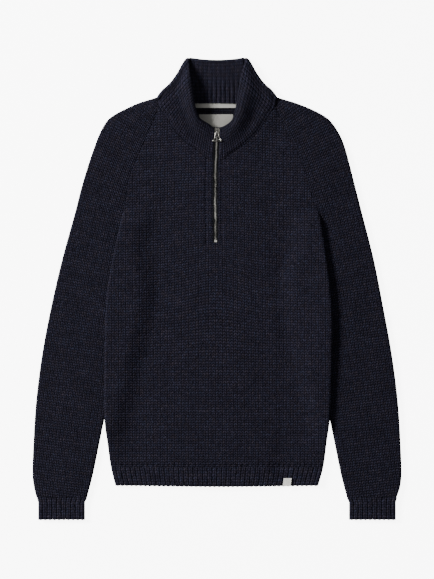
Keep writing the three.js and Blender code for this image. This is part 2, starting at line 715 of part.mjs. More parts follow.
// Small pieces of cloth that lie flat
function strip(columns, rows, topAt, thickness, shiftAt = () => 0) {
  const outer = rows.map((y) => columns.map((x) => plan(x + shiftAt(y), y, topAt(x, y))));
  const inner = outer.map((row) => row.map((p) => p.clone().setZ(p.z - thickness)));
  return facingOut(wallOf(outer, inner));
}

const NECK_TAPE_HALF = 78;
const NECK_TAPE_LOW_Y = 325.8;
const NECK_TAPE_THICK = 0.9;

function neckTape() {
  const columns = range(13).map((k) => lerp(-NECK_TAPE_HALF, NECK_TAPE_HALF, k / 12));
  const top = CLOTH + LAYER_GAP + NECK_TAPE_THICK;
  const outer = [0, 1].map((edge) =>
    columns.map((x) => plan(x, edge ? backSeamY(Math.abs(x)) - 0.8 : NECK_TAPE_LOW_Y, top)),
  );
  const inner = outer.map((row) => row.map((p) => p.clone().setZ(p.z - NECK_TAPE_THICK)));
  return facingOut(wallOf(outer, inner));
}

const NECK_LABEL = { left: -32.4, right: 28.8, top: 314.2, bottom: 272 };
const LABEL_WAVE = 1.1;

function neckLabel() {
  const columns = range(13).map((k) => lerp(NECK_LABEL.left, NECK_LABEL.right, k / 12));
  const rows = range(7).map((k) => lerp(NECK_LABEL.bottom, NECK_LABEL.top, k / 6));
  const top = (x, y) => {
    const free = smoothstep(NECK_LABEL.top, NECK_LABEL.top - 14, y);
    const wave = 0.5 + 0.5 * Math.sin(x / 7 + 1);
    return CLOTH + LAYER_GAP + LABEL_THICK + LABEL_WAVE * wave * free;
  };
  return strip(columns, rows, top, LABEL_THICK);
}

const HEM_LABEL = { x: 127, width: 14, top: -340, bottom: -354.2, lean: -2, thick: 1.1 };

function hemLabel() {
  const { x, width, top, bottom, lean, thick } = HEM_LABEL;
  const under = frontTop(x, top) + RIB_HEIGHT + LAYER_GAP;
  const outer = [bottom, top].map((y) => {
    const shift = y === bottom ? lean : 0;
    return [-0.5, 0.5].map((s) => plan(x + s * width + shift, y, under + thick));
  });
  const inner = outer.map((row) => row.map((p) => p.clone().setZ(under)));
  return facingOut(wallOf(outer, inner));
}

// Zip
// The tape: full width behind the front, narrower where the doubled collar takes it in
const TAPE_NARROWS = { from: 222, to: 233 };

function zipTape() {
  const rows = [76, 100, 140, 180, 200, 212, TAPE_NARROWS.from, 232, 245, 260, 275, 291];
  const outer = rows.map((y) => {
    const narrow = smoothstep(TAPE_NARROWS.from, TAPE_NARROWS.to, y);
    const half = lerp(TAPE_HALF, TAPE_COLLAR_HALF, narrow);
    return [-1, -0.5, 0, 0.5, 1].map((share) => plan(zipX(y) + share * half, y, tapeTop(y)));
  });
  const inner = outer.map((row) => row.map((p) => p.clone().setZ(p.z - TAPE_THICK)));
  return facingOut(wallOf(outer, inner));
}

const STOP_WIDTH = 5;
const STOP_LOW_Y = 84.2;
const STOP_TOP_Y = 88;
const SLIDER_LOW_Y = 275.4;
const SLIDER_TOP_Y = 290;

function zipChain() {
  const bends = [115, 140, 165, 190, 202, 214, 226, 236, 246, 260];
  const rows = [STOP_TOP_Y + SEAM_GAP, ...bends, SLIDER_LOW_Y - SEAM_GAP];
  const top = (x, y) => tapeTop(y) + LAYER_GAP + CHAIN_HEIGHT;
  return strip([-CHAIN_WIDTH / 2, CHAIN_WIDTH / 2], rows, top, CHAIN_HEIGHT, zipX);
}

function box(width, depth, height, x, y, z) {
  return new THREE.BoxGeometry(width, depth, height).translate(x, y, z);
}

function zipStop() {
  const height = 3.4;
  const depth = STOP_TOP_Y - STOP_LOW_Y;
  const y = (STOP_LOW_Y + STOP_TOP_Y) / 2;
  return box(STOP_WIDTH, depth, height, zipX(y), y, tapeTop(y) + LAYER_GAP + height / 2);
}

const SLIDER_HEIGHT = 4.8;
const SLIDER_BASE_Z = tapeTop(SLIDER_TOP_Y) + LAYER_GAP;
const SLIDER_FACE_Z = SLIDER_BASE_Z + SLIDER_HEIGHT;
const BAIL = { low: 277.2, high: 285.6, width: 2.4, rise: 3.6, wall: 1.1 };
const PIVOT_Y = 281.4;
const PIVOT_Z = SLIDER_FACE_Z + 1.3;

const wasm = await Module();
wasm.setup();

function toSolid(geometry) {
  const bare = geometry.clone();
  bare.deleteAttribute("normal");
  bare.deleteAttribute("uv");
  const merged = mergeVertices(bare, 1e-4);
  return new wasm.Manifold(
    new wasm.Mesh({
      numProp: 3,
      vertProperties: new Float32Array(merged.attributes.position.array),
      triVerts: new Uint32Array(merged.index.array),
    }),
  );
}

function fromSolid(solid) {
  const mesh = solid.getMesh();
  const geometry = new THREE.BufferGeometry();
  geometry.setAttribute("position", new THREE.Float32BufferAttribute(mesh.vertProperties, 3));
  geometry.setIndex([...mesh.triVerts]);
  return geometry.toNonIndexed();
}

// The slider: a shield-shaped body, wide where the rows of teeth part, and an arch for the pull
function zipSlider() {
  const outline = new THREE.Shape();
  outline.moveTo(-4.2, SLIDER_LOW_Y);
  outline.lineTo(4.2, SLIDER_LOW_Y);
  outline.lineTo(4.5, 280);
  outline.quadraticCurveTo(5.6, 284, 5.5, 287);
  outline.quadraticCurveTo(4.6, SLIDER_TOP_Y, 2.2, SLIDER_TOP_Y);
  outline.lineTo(0, 288.6);
  outline.lineTo(-2.2, SLIDER_TOP_Y);
  outline.quadraticCurveTo(-4.6, SLIDER_TOP_Y, -5.5, 287);
  outline.quadraticCurveTo(-5.6, 284, -4.5, 280);
  const body = new THREE.ExtrudeGeometry(outline, {
    depth: SLIDER_HEIGHT,
    bevelEnabled: false,
    curveSegments: 4,
  }).translate(0, 0, SLIDER_BASE_Z);
  const arch = new THREE.Shape();
  const { low, high, width, rise, wall } = BAIL;
  arch.moveTo(low, -0.5);
  arch.quadraticCurveTo(low, rise, (low + high) / 2, rise);
  arch.quadraticCurveTo(high, rise, high, -0.5);
  arch.lineTo(high - wall, -0.5);
  arch.quadraticCurveTo(high - wall, rise - wall, (low + high) / 2, rise - wall);
  arch.quadraticCurveTo(low + wall, rise - wall, low + wall, -0.5);
  const bail = new THREE.ExtrudeGeometry(arch, { depth: width, bevelEnabled: false, curveSegments: 5 });
  bail.applyMatrix4(new THREE.Matrix4().makeBasis(plan(0, 1, 0), plan(0, 0, 1), plan(1, 0, 0)));
  bail.translate(-width / 2, 0, SLIDER_FACE_Z);
  return fromSolid(toSolid(body).add(toSolid(bail)));
}

// The pull: one closed wire that widens from the bail to a bar with a ball at each end
const PULL_PATH = [
  { x: -1.9, y: 0, z: 0, radius: 0.85 },
  { x: 1.9, y: 0, z: 0, radius: 0.85 },
  { x: 3.2, y: -2.2, z: 0.2, radius: 0.85 },
  { x: 5, y: -8, z: 0.6, radius: 0.9 },
  { x: 6.4, y: -13.2, z: 1.6, radius: 1.1 },
  { x: 7.4, y: -15.4, z: 2.1, radius: 1.6 },
  { x: 5.6, y: -15.8, z: 2.1, radius: 1.1 },
  { x: -5.6, y: -15.8, z: 2.1, radius: 1.1 },
  { x: -7.4, y: -15.4, z: 2.1, radius: 1.6 },
  { x: -6.4, y: -13.2, z: 1.6, radius: 1.1 },
  { x: -5, y: -8, z: 0.6, radius: 0.9 },
  { x: -3.2, y: -2.2, z: 0.2, radius: 0.85 },
];
const WIRE_SIDES = 8;

function zipPull() {
  const centres = PULL_PATH.map((row) => plan(row.x, PIVOT_Y + row.y, PIVOT_Z + row.z));
  const rings = centres.map((centre, i) => {
    const before = centres[(i + centres.length - 1) % centres.length];
    const after = centres[(i + 1) % centres.length];
    const along = after.clone().sub(before).normalize();
    const across = plan(0, 0, 1).cross(along).normalize();
    const up = along.clone().cross(across);
    return range(WIRE_SIDES).map((k) => {
      const angle = (2 * Math.PI * k) / WIRE_SIDES;
      const reach = PULL_PATH[i].radius;
      const point = centre.clone().addScaledVector(across, reach * Math.cos(angle));
      return point.addScaledVector(up, reach * Math.sin(angle));
    });
  });
  const position = rings.flat().flatMap((p) => [p.x, p.y, p.z]);
  const faces = [];
  const at = (i, k) => (i % rings.length) * WIRE_SIDES + (k % WIRE_SIDES);
  range(rings.length).forEach((i) => {
    range(WIRE_SIDES).forEach((k) => {
      faces.push(at(i, k), at(i, k + 1), at(i + 1, k + 1), at(i, k), at(i + 1, k + 1), at(i + 1, k));
    });
  });
  const geometry = new THREE.BufferGeometry();
  geometry.setAttribute("position", new THREE.Float32BufferAttribute(position, 3));
  geometry.setIndex(faces);
  return facingOut(geometry.toNonIndexed());
}

// Materials
const knit = new THREE.MeshStandardMaterial({ color: 0x1c1c26, roughness: 0.95, metalness: 0 });
const tape = new THREE.MeshStandardMaterial({ color: 0x14151c, roughness: 0.8, metalness: 0 });
const satin = new THREE.MeshStandardMaterial({ color: 0xd8d4c6, roughness: 0.45, metalness: 0 });
const metal = new THREE.MeshStandardMaterial({ color: 0xa9a69c, roughness: 0.35, metalness: 1 });

const PIECES = [
  ["front_body", frontBody(), knit],
  ["back_body", backBody(), knit],
  ["sleeve_left", sleeve("left"), knit],
  ["sleeve_right", sleeve("right"), knit],
  ["cuff_left", cuff("left"), knit],
  ["cuff_right", cuff("right"), knit],
  ["hem_front", hemFront(), knit],
  ["hem_back", hemBack(), knit],
  ["collar", collar(), knit],
  ["neck_tape", neckTape(), satin],
  ["neck_label", neckLabel(), satin],
  ["hem_label", hemLabel(), satin],
  ["zip_tape", zipTape(), tape],
  ["zip_chain", zipChain(), metal],
  ["zip_stop", zipStop(), metal],
  ["zip_slider", zipSlider(), metal],
  ["zip_pull", zipPull(), metal],
];

const group = new THREE.Group();
for (const [name, geometry, material] of PIECES) {
  const mesh = new THREE.Mesh(geometry, material);
  mesh.name = name;
  group.add(mesh);
}

export default group;
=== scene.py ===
# Quarter zip sweater of chunky knit, laid flat, seen from straight above.
# Sizes are in millimetres up to the point where a mesh is made, and metres from there on.
import math

import bmesh
import bpy
import numpy as np
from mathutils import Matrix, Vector


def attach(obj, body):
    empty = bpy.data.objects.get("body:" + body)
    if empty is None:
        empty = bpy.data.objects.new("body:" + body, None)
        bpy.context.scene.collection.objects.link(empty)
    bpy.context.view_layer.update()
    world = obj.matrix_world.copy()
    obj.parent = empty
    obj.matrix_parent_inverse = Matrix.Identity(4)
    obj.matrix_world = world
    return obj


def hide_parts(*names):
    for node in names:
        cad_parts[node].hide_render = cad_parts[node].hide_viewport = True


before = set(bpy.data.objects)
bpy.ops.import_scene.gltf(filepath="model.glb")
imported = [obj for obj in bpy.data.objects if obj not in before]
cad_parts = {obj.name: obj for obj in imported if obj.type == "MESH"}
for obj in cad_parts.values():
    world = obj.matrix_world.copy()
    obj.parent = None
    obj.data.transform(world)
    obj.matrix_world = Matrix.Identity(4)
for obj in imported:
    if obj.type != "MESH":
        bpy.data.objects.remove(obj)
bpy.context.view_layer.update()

MM = 0.001

# Driving dimensions: those of the part, with deeper folds and a rise beside a sleeve for the cloth
CLOTH = 3.2
COLLAR_CLOTH = 5.6
SLEEVE_TOP = 7.4
SLEEVE_PUFF = 0.8
MIDDLE_TOP = 8.7
CROWN_RISE = 1.5
CROWN_HALF_WIDTH = 70
TROUGH_DEPTH = 2.0
TROUGH_NEAR = 15  # reach of its left slope, the steep one
TROUGH_FAR = 34
TROUGH_SHARE = {"left": 0.62, "right": 1.25}  # the right one is the deeper
TROUGH_FROM_Y, TROUGH_TO_Y = 90, 200  # they fade out between these
FRONT_LIFT = 7.7
RIGHT_EDGE_RISE = 4.0  # the body's right edge stands off the sleeve
RIGHT_EDGE_MIDDLE_Y, RIGHT_EDGE_REACH = -45, 130
RIGHT_EDGE_FROM_X, RIGHT_EDGE_TO_X = 150, 205
BACK_LIFT = 9
LIFT_RAMP = 42
LIFT_LEAD = 9
NECK_TOP = 11.4
NECK_SLOPE_LENGTH = 60  # the front rises to the neck seam over this
EDGE_ROUND = 4.6
EDGE_RIM = 0.6  # height that is left of a wall at its folded edge
SEAM_GAP = 0.2
HEM_SEAM_Y = -319.5
HEM_END_Y = -353.5
CUFF_SEAM_Y = -374.5
CUFF_END_Y = -415
HEM_RIBS = 44
CUFF_RIBS = 10
FLAP_RIBS = 31
SLIT_BOTTOM_Y = 82.5
SLIT_HALF = 5.2
ARMPIT_Y = 145.8
LIFTED_FROM_Y = 116
CROTCH_Y = -240
SETTLED_Y = -305
RAGLAN_TOP_Y = 327.6

# The knit
WALE = 6.3  # width of one column of stitches
COURSE = 4.7  # height of one row of stitches
STITCH_HEIGHT = 1.3  # how far a stitch stands up from the cloth
LEG_LEAN = 0.5  # rows that one leg of a stitch climbs
WALE_STEPS = 4  # mesh columns to a stitch
SLEEVE_COLUMNS = 108  # mesh columns across a sleeve
UNDER_COLUMNS = 8  # and across its underside
COURSE_STEPS = 3  # mesh rows to a stitch


def table(columns, *rows):
    """Rows of a table, each with its values under the columns' names."""
    return [dict(zip(columns.split(), row)) for row in rows]


# The sides of the sleeves and of the body in plan, in mm to the left and right at each height y
SLEEVE_OUTER = table(
    "y left right",
    (345.8, -108.9, 108.9),
    (342.6, -118, 118.5),
    (334.8, -143, 144),
    (324, -167, 171),
    (313.2, -187, 192),
    (302.4, -200, 206),
    (280.8, -212.5, 221),
    (259.2, -221, 230.5),
    (226.8, -232, 239.5),
    (183.6, -244.8, 250.2),
    (140.4, -255.6, 261),
    (54, -279, 282.6),
    (-32.4, -298.8, 299.5),
    (-118.8, -315, 315),
    (-205.2, -325.8, 325.8),
    (-291.6, -331, 331),
    (-334.8, -332, 332),
    (-356.4, -329.4, 329.4),
    (-374.5, -325, 323.5),
)
# The line that a sleeve's stitches follow, from the cuff up
SLEEVE_AXIS = [(283, -375), (262, -205), (238, -32), (216, 92), (188, 200), (150, 290), (112, 345)]
SLEEVE_INNER = table(
    "y left right",
    (144, -161, 176),
    (129, -159, 174),
    (114, -160, 174),
    (92, -163, 173),
    (66, -166, 171),
    (28, -157, 159),
    (-12, -154, 155),
    (-54, -161, 161),
    (-118.8, -176.5, 176.5),
    (-183.6, -191, 191),
    (-248.4, -205.4, 205.4),
    (-291.6, -214.2, 214.2),
    (-334.8, -223.2, 223.2),
    (-374.5, -233.5, 233.5),
)
BODY_SIDE = table(
    "y left right",
    (327.6, -104.4, 104.4),
    (295.2, -117.5, 120),
    (261, -132.8, 138.6),
    (241.2, -142.2, 148),
    (217.8, -153, 156.6),
    (201.6, -159, 162),
    (178.2, -163.5, 170.5),
    (145.8, -167, 181.8),
    (106.2, -176.4, 189),
    (70.2, -184.5, 194.5),
    (37.8, -190.8, 198.6),
    (0, -197, 203.2),
    (-64.8, -201, 207),
    (-154.8, -202.5, 205.2),
    (-235.8, -202.1, 202.5),
    (-270, -198, 198),
    (-319.5, -191, 191.4),
    (-353.5, -182.7, 182),
)
# The neck seam, in front from the zip outwards and behind from the middle outwards
NECK_SEAM = table(
    "x y",
    (0, 231.5),
    (8, 231.8),
    (18, 235.5),
    (32.4, 247.5),
    (53, 262.8),
    (73, 281),
    (85.5, 301),
    (95.4, 315.9),
    (104.4, 328.2),
    (106.5, 346),
)
BACK_NECK_SEAM = table("x y", (0, 336.4), (60, 335.4), (90, 333.2), (104.6, 331.6), (106.5, 340))
# The collar: the upper edge of its flaps, from the zip on, and its side folds, from the seam up
FLAP_EDGE = table(
    "along leftX leftY rightX rightY z",
    (0, -6.4, 290.5, 6.4, 290.5, 11.6),
    (0.13, -16.5, 297.5, 15.5, 294.5, 14),
    (0.27, -31, 306, 26.5, 303.5, 17.6),
    (0.4, -37.5, 318.6, 31.5, 318.6, 20.8),
    (0.55, -41.4, 336.6, 35.1, 335, 22.2),
    (0.7, -44.1, 358.2, 38, 357, 21.6),
    (0.85, -47.5, 382, 42, 381, 19),
    (1, -49.5, 411, 47.5, 411, 11.4),
)
COLLAR_FOLD = table(
    "rise x y facing",
    (0, 106, 346.8, 88),
    (0.07, 103.8, 352, 52),
    (0.18, 96.8, 360, 45),
    (0.28, 89.6, 366, 46),
    (0.42, 80.5, 376.2, 40),
    (0.6, 71.3, 389.6, 33),
    (0.78, 64.6, 401.6, 32),
    (0.86, 61.4, 405.6, 36),
    (0.92, 58.6, 408.8, 47),
    (0.96, 55.4, 411.6, 62),
    (1, 50.4, 414.2, 84),
)
# The zip's slight bend, the height of its tape, and the bottoms of the front's two long folds
ZIP_LINE = table(
    "y x",
    (78, -2.4),
    (120, -2.8),
    (165, -3.3),
    (212, -2.8),
    (245, -1.7),
    (270, -0.4),
    (280, 0),
)
ZIP_SHIFT_REACH = 34
TAPE_TOP = table("y z", (78, 6.5), (190, 6.5), (226, 5.2), (245, 5), (268, 6.4), (291, 8.1))
TROUGHS = table(
    "y left right",
    (200, -92, 104),
    (60, -101, 116),
    (-60, -108, 126),
    (-180, -134, 124),
    (-319.5, -158, 112),
)


# Shared functions
SIGN = {"left": -1, "right": 1}


def lerp(a, b, t):
    return a + (b - a) * t


def smoothstep(low, high, value):
    t = np.clip((value - low) / (high - low), 0, 1)
    return t * t * (3 - 2 * t)


def bell(value):
    return np.exp(-value * value)


def curve_of(rows, column, key="y"):
    """A smooth curve through one column of a table, read at any value of its key column."""
    ordered = sorted(rows, key=lambda row: row[key])
    xs = np.array([row[key] for row in ordered], float)
    ys = np.array([row[column] for row in ordered], float)
    before = np.maximum(np.arange(len(xs)) - 1, 0)
    after = np.minimum(np.arange(len(xs)) + 1, len(xs) - 1)
    slopes = (ys[after] - ys[before]) / (xs[after] - xs[before])

    def read(value):
        at = np.clip(value, xs[0], xs[-1])
        i = np.clip(np.searchsorted(xs, at, side="right") - 1, 0, len(xs) - 2)
        span = xs[i + 1] - xs[i]
        t = (at - xs[i]) / span
        keep = 2 * t**3 - 3 * t**2 + 1
        lead = (t**3 - 2 * t**2 + t) * span
        tail = (t**3 - t**2) * span
        return keep * ys[i] + lead * slopes[i] + (1 - keep) * ys[i + 1] + tail * slopes[i + 1]

    return read


def path_of(points):
    """A smooth path in plan through points, read at a share of its length."""
    points = np.array(points, float)
    chord = np.concatenate([[0], np.cumsum(np.hypot(*np.diff(points, axis=0).T))])
    rows = [{"s": s, "x": x, "y": y} for s, (x, y) in zip(chord, points)]
    fine = np.linspace(0, chord[-1], 1200)
    xs, ys = curve_of(rows, "x", "s")(fine), curve_of(rows, "y", "s")(fine)
    length = np.concatenate([[0], np.cumsum(np.hypot(np.diff(xs), np.diff(ys)))])

    def read(share):
        at = np.clip(share, 0, 1) * length[-1]
        return np.interp(at, length, xs), np.interp(at, length, ys)

    read.length = length[-1]
    return read


def sided(rows):
    """The left and right columns of a table as one curve of y and of the sign of x."""
    left, right = curve_of(rows, "left"), curve_of(rows, "right")
    return lambda x, y: np.where(x < 0, -left(y), right(y))


body_half = sided(BODY_SIDE)
sleeve_inner_half = sided(SLEEVE_INNER)
trough_half = sided(TROUGHS)
neck_seam_y = curve_of(NECK_SEAM, "y", "x")
back_seam_y = curve_of(BACK_NECK_SEAM, "y", "x")
tape_top = curve_of(TAPE_TOP, "z")
zip_x = curve_of(ZIP_LINE, "x")


def beside_zip(x, y):
    """A place beside the zip, drawn along with it."""
    return x + zip_x(y) * bell(x / ZIP_SHIFT_REACH)


# Height of the cloth
def lift(x, y):
    """Share by which the body is raised where it lies on the sleeves."""
    inner = sleeve_inner_half(x, y) - LIFT_LEAD
    across = smoothstep(inner - LIFT_RAMP, inner, np.abs(x))
    return across * (1 - smoothstep(LIFTED_FROM_Y, ARMPIT_Y, y)) * smoothstep(SETTLED_Y, CROTCH_Y, y)


def trough(x, y):
    """Depth of the two long soft folds of the front, steep to the left and slow to the right."""
    off = x - np.sign(x) * trough_half(x, y)
    share = bell(off / np.where(off < 0, TROUGH_NEAR, TROUGH_FAR))
    uneven = 0.72 + 0.28 * np.sin(y / 47 + np.where(x < 0, 0.6, 2.2))
    return TROUGH_DEPTH * share * uneven * np.where(x < 0, TROUGH_SHARE["left"], TROUGH_SHARE["right"])


def level_top(x, y):
    plain = MIDDLE_TOP + CROWN_RISE * bell(x / CROWN_HALF_WIDTH)
    plain = plain - trough(x, y) * (1 - smoothstep(TROUGH_FROM_Y, TROUGH_TO_Y, y))
    reach = y - neck_seam_y(np.abs(x))
    return lerp(plain, NECK_TOP, smoothstep(-NECK_SLOPE_LENGTH, 0, reach))


def front_top(x, y):
    across = smoothstep(RIGHT_EDGE_FROM_X, RIGHT_EDGE_TO_X, x)
    raised = RIGHT_EDGE_RISE * bell((y - RIGHT_EDGE_MIDDLE_Y) / RIGHT_EDGE_REACH) * across
    return level_top(x, y) + (FRONT_LIFT + raised) * lift(x, y)


def back_top(x, y):
    return CLOTH + BACK_LIFT * lift(x, y)


def round_share(distance, radius=EDGE_ROUND):
    t = 1 - np.clip(distance / radius, 0, 1)
    return np.sqrt(1 - t * t)


# Meshes
def linked_object(name, data):
    piece = bpy.data.objects.new(name, data)
    bpy.context.scene.collection.objects.link(piece)
    return piece


def mesh_object(name, points, faces, uv=None, smooth=True, kinds=None):
    mesh = bpy.data.meshes.new(name)
    mesh.from_pydata((np.asarray(points) * MM).tolist(), [], [list(map(int, f)) for f in faces])
    if uv is not None:
        layer = mesh.uv_layers.new(name="knit")
        corner = np.empty(len(mesh.loops), dtype=np.int32)
        mesh.loops.foreach_get("vertex_index", corner)
        layer.data.foreach_set("uv", np.asarray(uv, dtype=np.float32)[corner].ravel())
    if smooth:
        mesh.polygons.foreach_set("use_smooth", [True] * len(mesh.polygons))
    if kinds is not None:
        mesh.polygons.foreach_set("material_index", np.asarray(kinds, dtype=np.int32))
    mesh.validate()
    return linked_object(name, mesh)


# The cell beside each side of a cell, and that side's two corners
RIM_SIDES = [
    ((-1, 0), (0, 0), (0, 1)),
    ((1, 0), (1, 1), (1, 0)),
    ((0, -1), (1, 0), (0, 0)),
    ((0, 1), (0, 1), (1, 1)),
]


def shell(name, top, under, uv, cells, under_step=(6, 8)):
    """A wall of cloth: a fine top, its rims, and a coarser underside."""
    rows, columns = top.shape[:2]
    index = np.arange(rows * columns).reshape(rows, columns)
    i, j = np.nonzero(cells)
    quads = np.stack([index[i, j], index[i, j + 1], index[i + 1, j + 1], index[i + 1, j]], 1)
    faces = [quads]
    points = [top.reshape(-1, 3), under.reshape(-1, 3)]
    below = rows * columns
    padded = np.pad(cells, 1)
    height, width = cells.shape
    for (di, dj), a, b in RIM_SIDES:
        beside = padded[1 + di : 1 + di + height, 1 + dj : 1 + dj + width]
        ei, ej = np.nonzero(cells & ~beside)
        first, second = index[ei + a[0], ej + a[1]], index[ei + b[0], ej + b[1]]
        faces.append(np.stack([second, first, first + below, second + below], 1))
    step_i, step_j = under_step
    for r in range(0, height, step_i):
        r2 = min(r + step_i, height)
        for c in range(0, width, step_j):
            c2 = min(c + step_j, width)
            block = cells[r:r2, c:c2]
            if block.all():
                corners = [index[r, c], index[r2, c], index[r2, c2], index[r, c2]]
                faces.append(np.array([corners]) + below)
            elif block.any():
                bi, bj = np.nonzero(block)
                bi, bj = bi + r, bj + c
                fine = [index[bi, bj], index[bi + 1, bj], index[bi + 1, bj + 1], index[bi, bj + 1]]
                faces.append(np.stack(fine, 1) + below)
    faces = np.concatenate(faces)
    points = np.concatenate(points)
    uv = np.concatenate([uv.reshape(-1, 2)] * 2)
    used = np.unique(faces)
    renumber = np.full(len(points), -1)
    renumber[used] = np.arange(len(used))
    return mesh_object(name, points[used], renumber[faces], uv[used])


def face_outwards(piece):
    repair = bmesh.new()
    repair.from_mesh(piece.data)
    bmesh.ops.recalc_face_normals(repair, faces=repair.faces)
    repair.to_mesh(piece.data)
    repair.free()
    return piece


def tube(name, outer, inner, uv):
    """A flattened tube of cloth, open at both ends: rings of its outside and of its hollow."""
    rows, around = outer.shape[:2]
    inner_rows = len(inner)
    ring = np.arange(around)
    ahead = (ring + 1) % around
    faces = []
    for count, first, turned in ((rows, 0, False), (inner_rows, rows * around, True)):
        base = first + np.arange(count - 1)[:, None] * around
        quads = np.stack([base + ring, base + ahead, base + around + ahead, base + around + ring], -1)
        quads = quads.reshape(-1, 4)
        faces.append(quads[:, ::-1] if turned else quads)
    for row, inner_row in ((0, 0), (rows - 1, inner_rows - 1)):
        out, hollow = row * around, rows * around + inner_row * around
        lip = np.stack([out + ring, out + ahead, hollow + ahead, hollow + ring], -1)
        faces.append(lip[:, ::-1] if row == 0 else lip)
    points = np.concatenate([outer.reshape(-1, 3), inner.reshape(-1, 3)])
    spare = np.zeros((inner.shape[0] * around, 2))
    piece = mesh_object(name, points, np.concatenate(faces), np.concatenate([uv.reshape(-1, 2), spare]))
    return face_outwards(piece)


def shares_round(columns):
    """Places round a flattened tube, over its top and back below it, and which of them are above."""
    shares = np.concatenate([np.linspace(0, 1, columns), np.linspace(1, 0, UNDER_COLUMNS)])
    return shares, np.arange(len(shares)) < columns


def hollow_ring(columns, at_place, width, full):
    """The inside of a flattened tube, with the same count of places round it as the outside."""
    inset = CLOTH / width
    share, above = shares_round(columns)
    across = lerp(inset, 1 - inset, share[None, :])
    gap = np.maximum(full - 2 * CLOTH, 0.8) / 2
    reach = np.minimum(share, 1 - share)[None, :] * width
    side = np.where(above, 1, -1)[None, :]
    x, y = at_place(across)
    return np.stack([x, y, full / 2 + side * gap * round_share(reach, 3) * np.ones_like(x)], -1)


def stitch_relief(wale, course):
    """Height of the stockinette at a place counted in stitches: two leaning legs to a stitch."""
    leg = np.abs(np.mod(wale, 1) - 0.5) * 2
    arc = np.sin(np.pi * leg)
    column = np.maximum(arc, 0.6 - 0.3 * leg)
    bead = 0.5 - 0.5 * np.cos(2 * np.pi * (course + LEG_LEAN * leg))
    return STITCH_HEIGHT * (0.4 * column + 0.6 * column * bead + 0.2 * bead - 0.6)


def rib_relief(count, height):
    """Height of ribs at a place counted in ribs: broad crests and narrow valleys."""
    phase = np.abs(np.mod(count, 1) - 0.5) * 2
    return height * (1 - np.clip(phase, 0, 1) ** 3.2 - 0.5)


# Front and back
WIDEST_X, HIGHEST_Y = 208, 348  # the fields of stitches reach this far and are cut to the outline
BACK_COLUMNS_EACH_SIDE = 33
LOW_ARCH = {"rise": 13, "x_reach": 58, "y": -12, "y_reach": 80}  # the rows bow up below the zip
WIDE_ARCH = {"rise": 9, "x_reach": 120, "from_y": -190, "to_y": 60}
FOLD_FADE = {"below": 12, "above": 6}  # the sides are folded below the armpit and sewn above it
SEAM_DIP = {"depth": 0.6, "reach": 2.2}
NECK_DIP = {"depth": 0.25, "reach": 2.5}
STITCHING = {"left": -17.6, "right": 10.8, "depth": 1.3, "dash": 0.7, "reach": 1.7}
JOINT = {"depth": 1.7, "above_seam": 3, "reach": 2.2, "wales": 1.5}  # deeper stitches at the hem


def folded_share(y):
    """One where the body's side is a folded edge, and nought where it is a seam."""
    return 1 - smoothstep(ARMPIT_Y - FOLD_FADE["below"], ARMPIT_Y + FOLD_FADE["above"], y)


def front_cloth():
    """The front panel: rows and columns of stitches, cut to the outline and folded at its sides."""
    columns = int(round(2 * WIDEST_X / WALE * WALE_STEPS))
    rows = int(round((HIGHEST_Y - HEM_SEAM_Y) / COURSE * COURSE_STEPS))
    xs = (np.arange(columns + 1) - columns / 2) * WALE / WALE_STEPS
    ys = HEM_SEAM_Y + 0.3 + np.arange(rows + 1) * COURSE / COURSE_STEPS
    x, y = np.meshgrid(xs, ys)
    wale, course = x / WALE, (y - HEM_SEAM_Y) / COURSE
    low, wide = LOW_ARCH, WIDE_ARCH
    arch = low["rise"] * bell(x / low["x_reach"]) * bell((y - low["y"]) / low["y_reach"])
    arch = arch + wide["rise"] * bell(x / wide["x_reach"]) * smoothstep(wide["from_y"], wide["to_y"], y)
    y = y + arch
    half = body_half(x, y)
    kept = (np.abs(x) < half) & (y < neck_seam_y(np.abs(x)) - SEAM_GAP)
    cells = kept[:-1, :-1] | kept[1:, :-1] | kept[:-1, 1:] | kept[1:, 1:]
    middle_x, middle_y = (x[:-1, :-1] + x[:-1, 1:]) / 2, (y[:-1, :-1] + y[1:, :-1]) / 2
    slit_cell = (np.abs(middle_x) < SLIT_HALF) & (middle_y > SLIT_BOTTOM_Y)
    cells &= ~slit_cell & (y[:-1, :-1] < RAGLAN_TOP_Y + 1)
    level_x = np.sign(x) * np.minimum(np.abs(x), half)
    y = np.minimum(y, neck_seam_y(np.abs(level_x)) - SEAM_GAP)
    x = beside_zip(level_x, y)
    top = front_top(x, y)
    folded = folded_share(y)
    off = half - np.abs(level_x)
    left = lerp(1, round_share(off), folded)
    seam_dip = SEAM_DIP["depth"] * bell(off / SEAM_DIP["reach"]) * (1 - folded)
    neck_dip = NECK_DIP["depth"] * bell((neck_seam_y(np.abs(level_x)) - y) / NECK_DIP["reach"])
    stitched = smoothstep(SLIT_BOTTOM_Y - 6, SLIT_BOTTOM_Y + 4, y)
    sewn = np.where(level_x < 0, STITCHING["left"], STITCHING["right"])
    stitching = STITCHING["depth"] + STITCHING["dash"] * np.cos(2 * np.pi * y / COURSE)
    stitching = stitching * bell((level_x - sewn) / STITCHING["reach"]) * stitched
    relief = stitch_relief(wale, course) * (0.35 + 0.65 * left)
    under = top - CLOTH
    joint = bell((y - HEM_SEAM_Y - JOINT["above_seam"]) / JOINT["reach"])
    joint = joint * (0.5 + 0.5 * np.cos(2 * np.pi * wale / JOINT["wales"]))
    z = under + EDGE_RIM + (CLOTH - EDGE_RIM) * left + relief
    z = z - seam_dip - neck_dip - stitching - JOINT["depth"] * joint
    uv = np.stack([wale, course], -1)
    return shell("front_cloth", np.stack([x, y, z], -1), np.stack([x, y, under], -1), uv, cells)


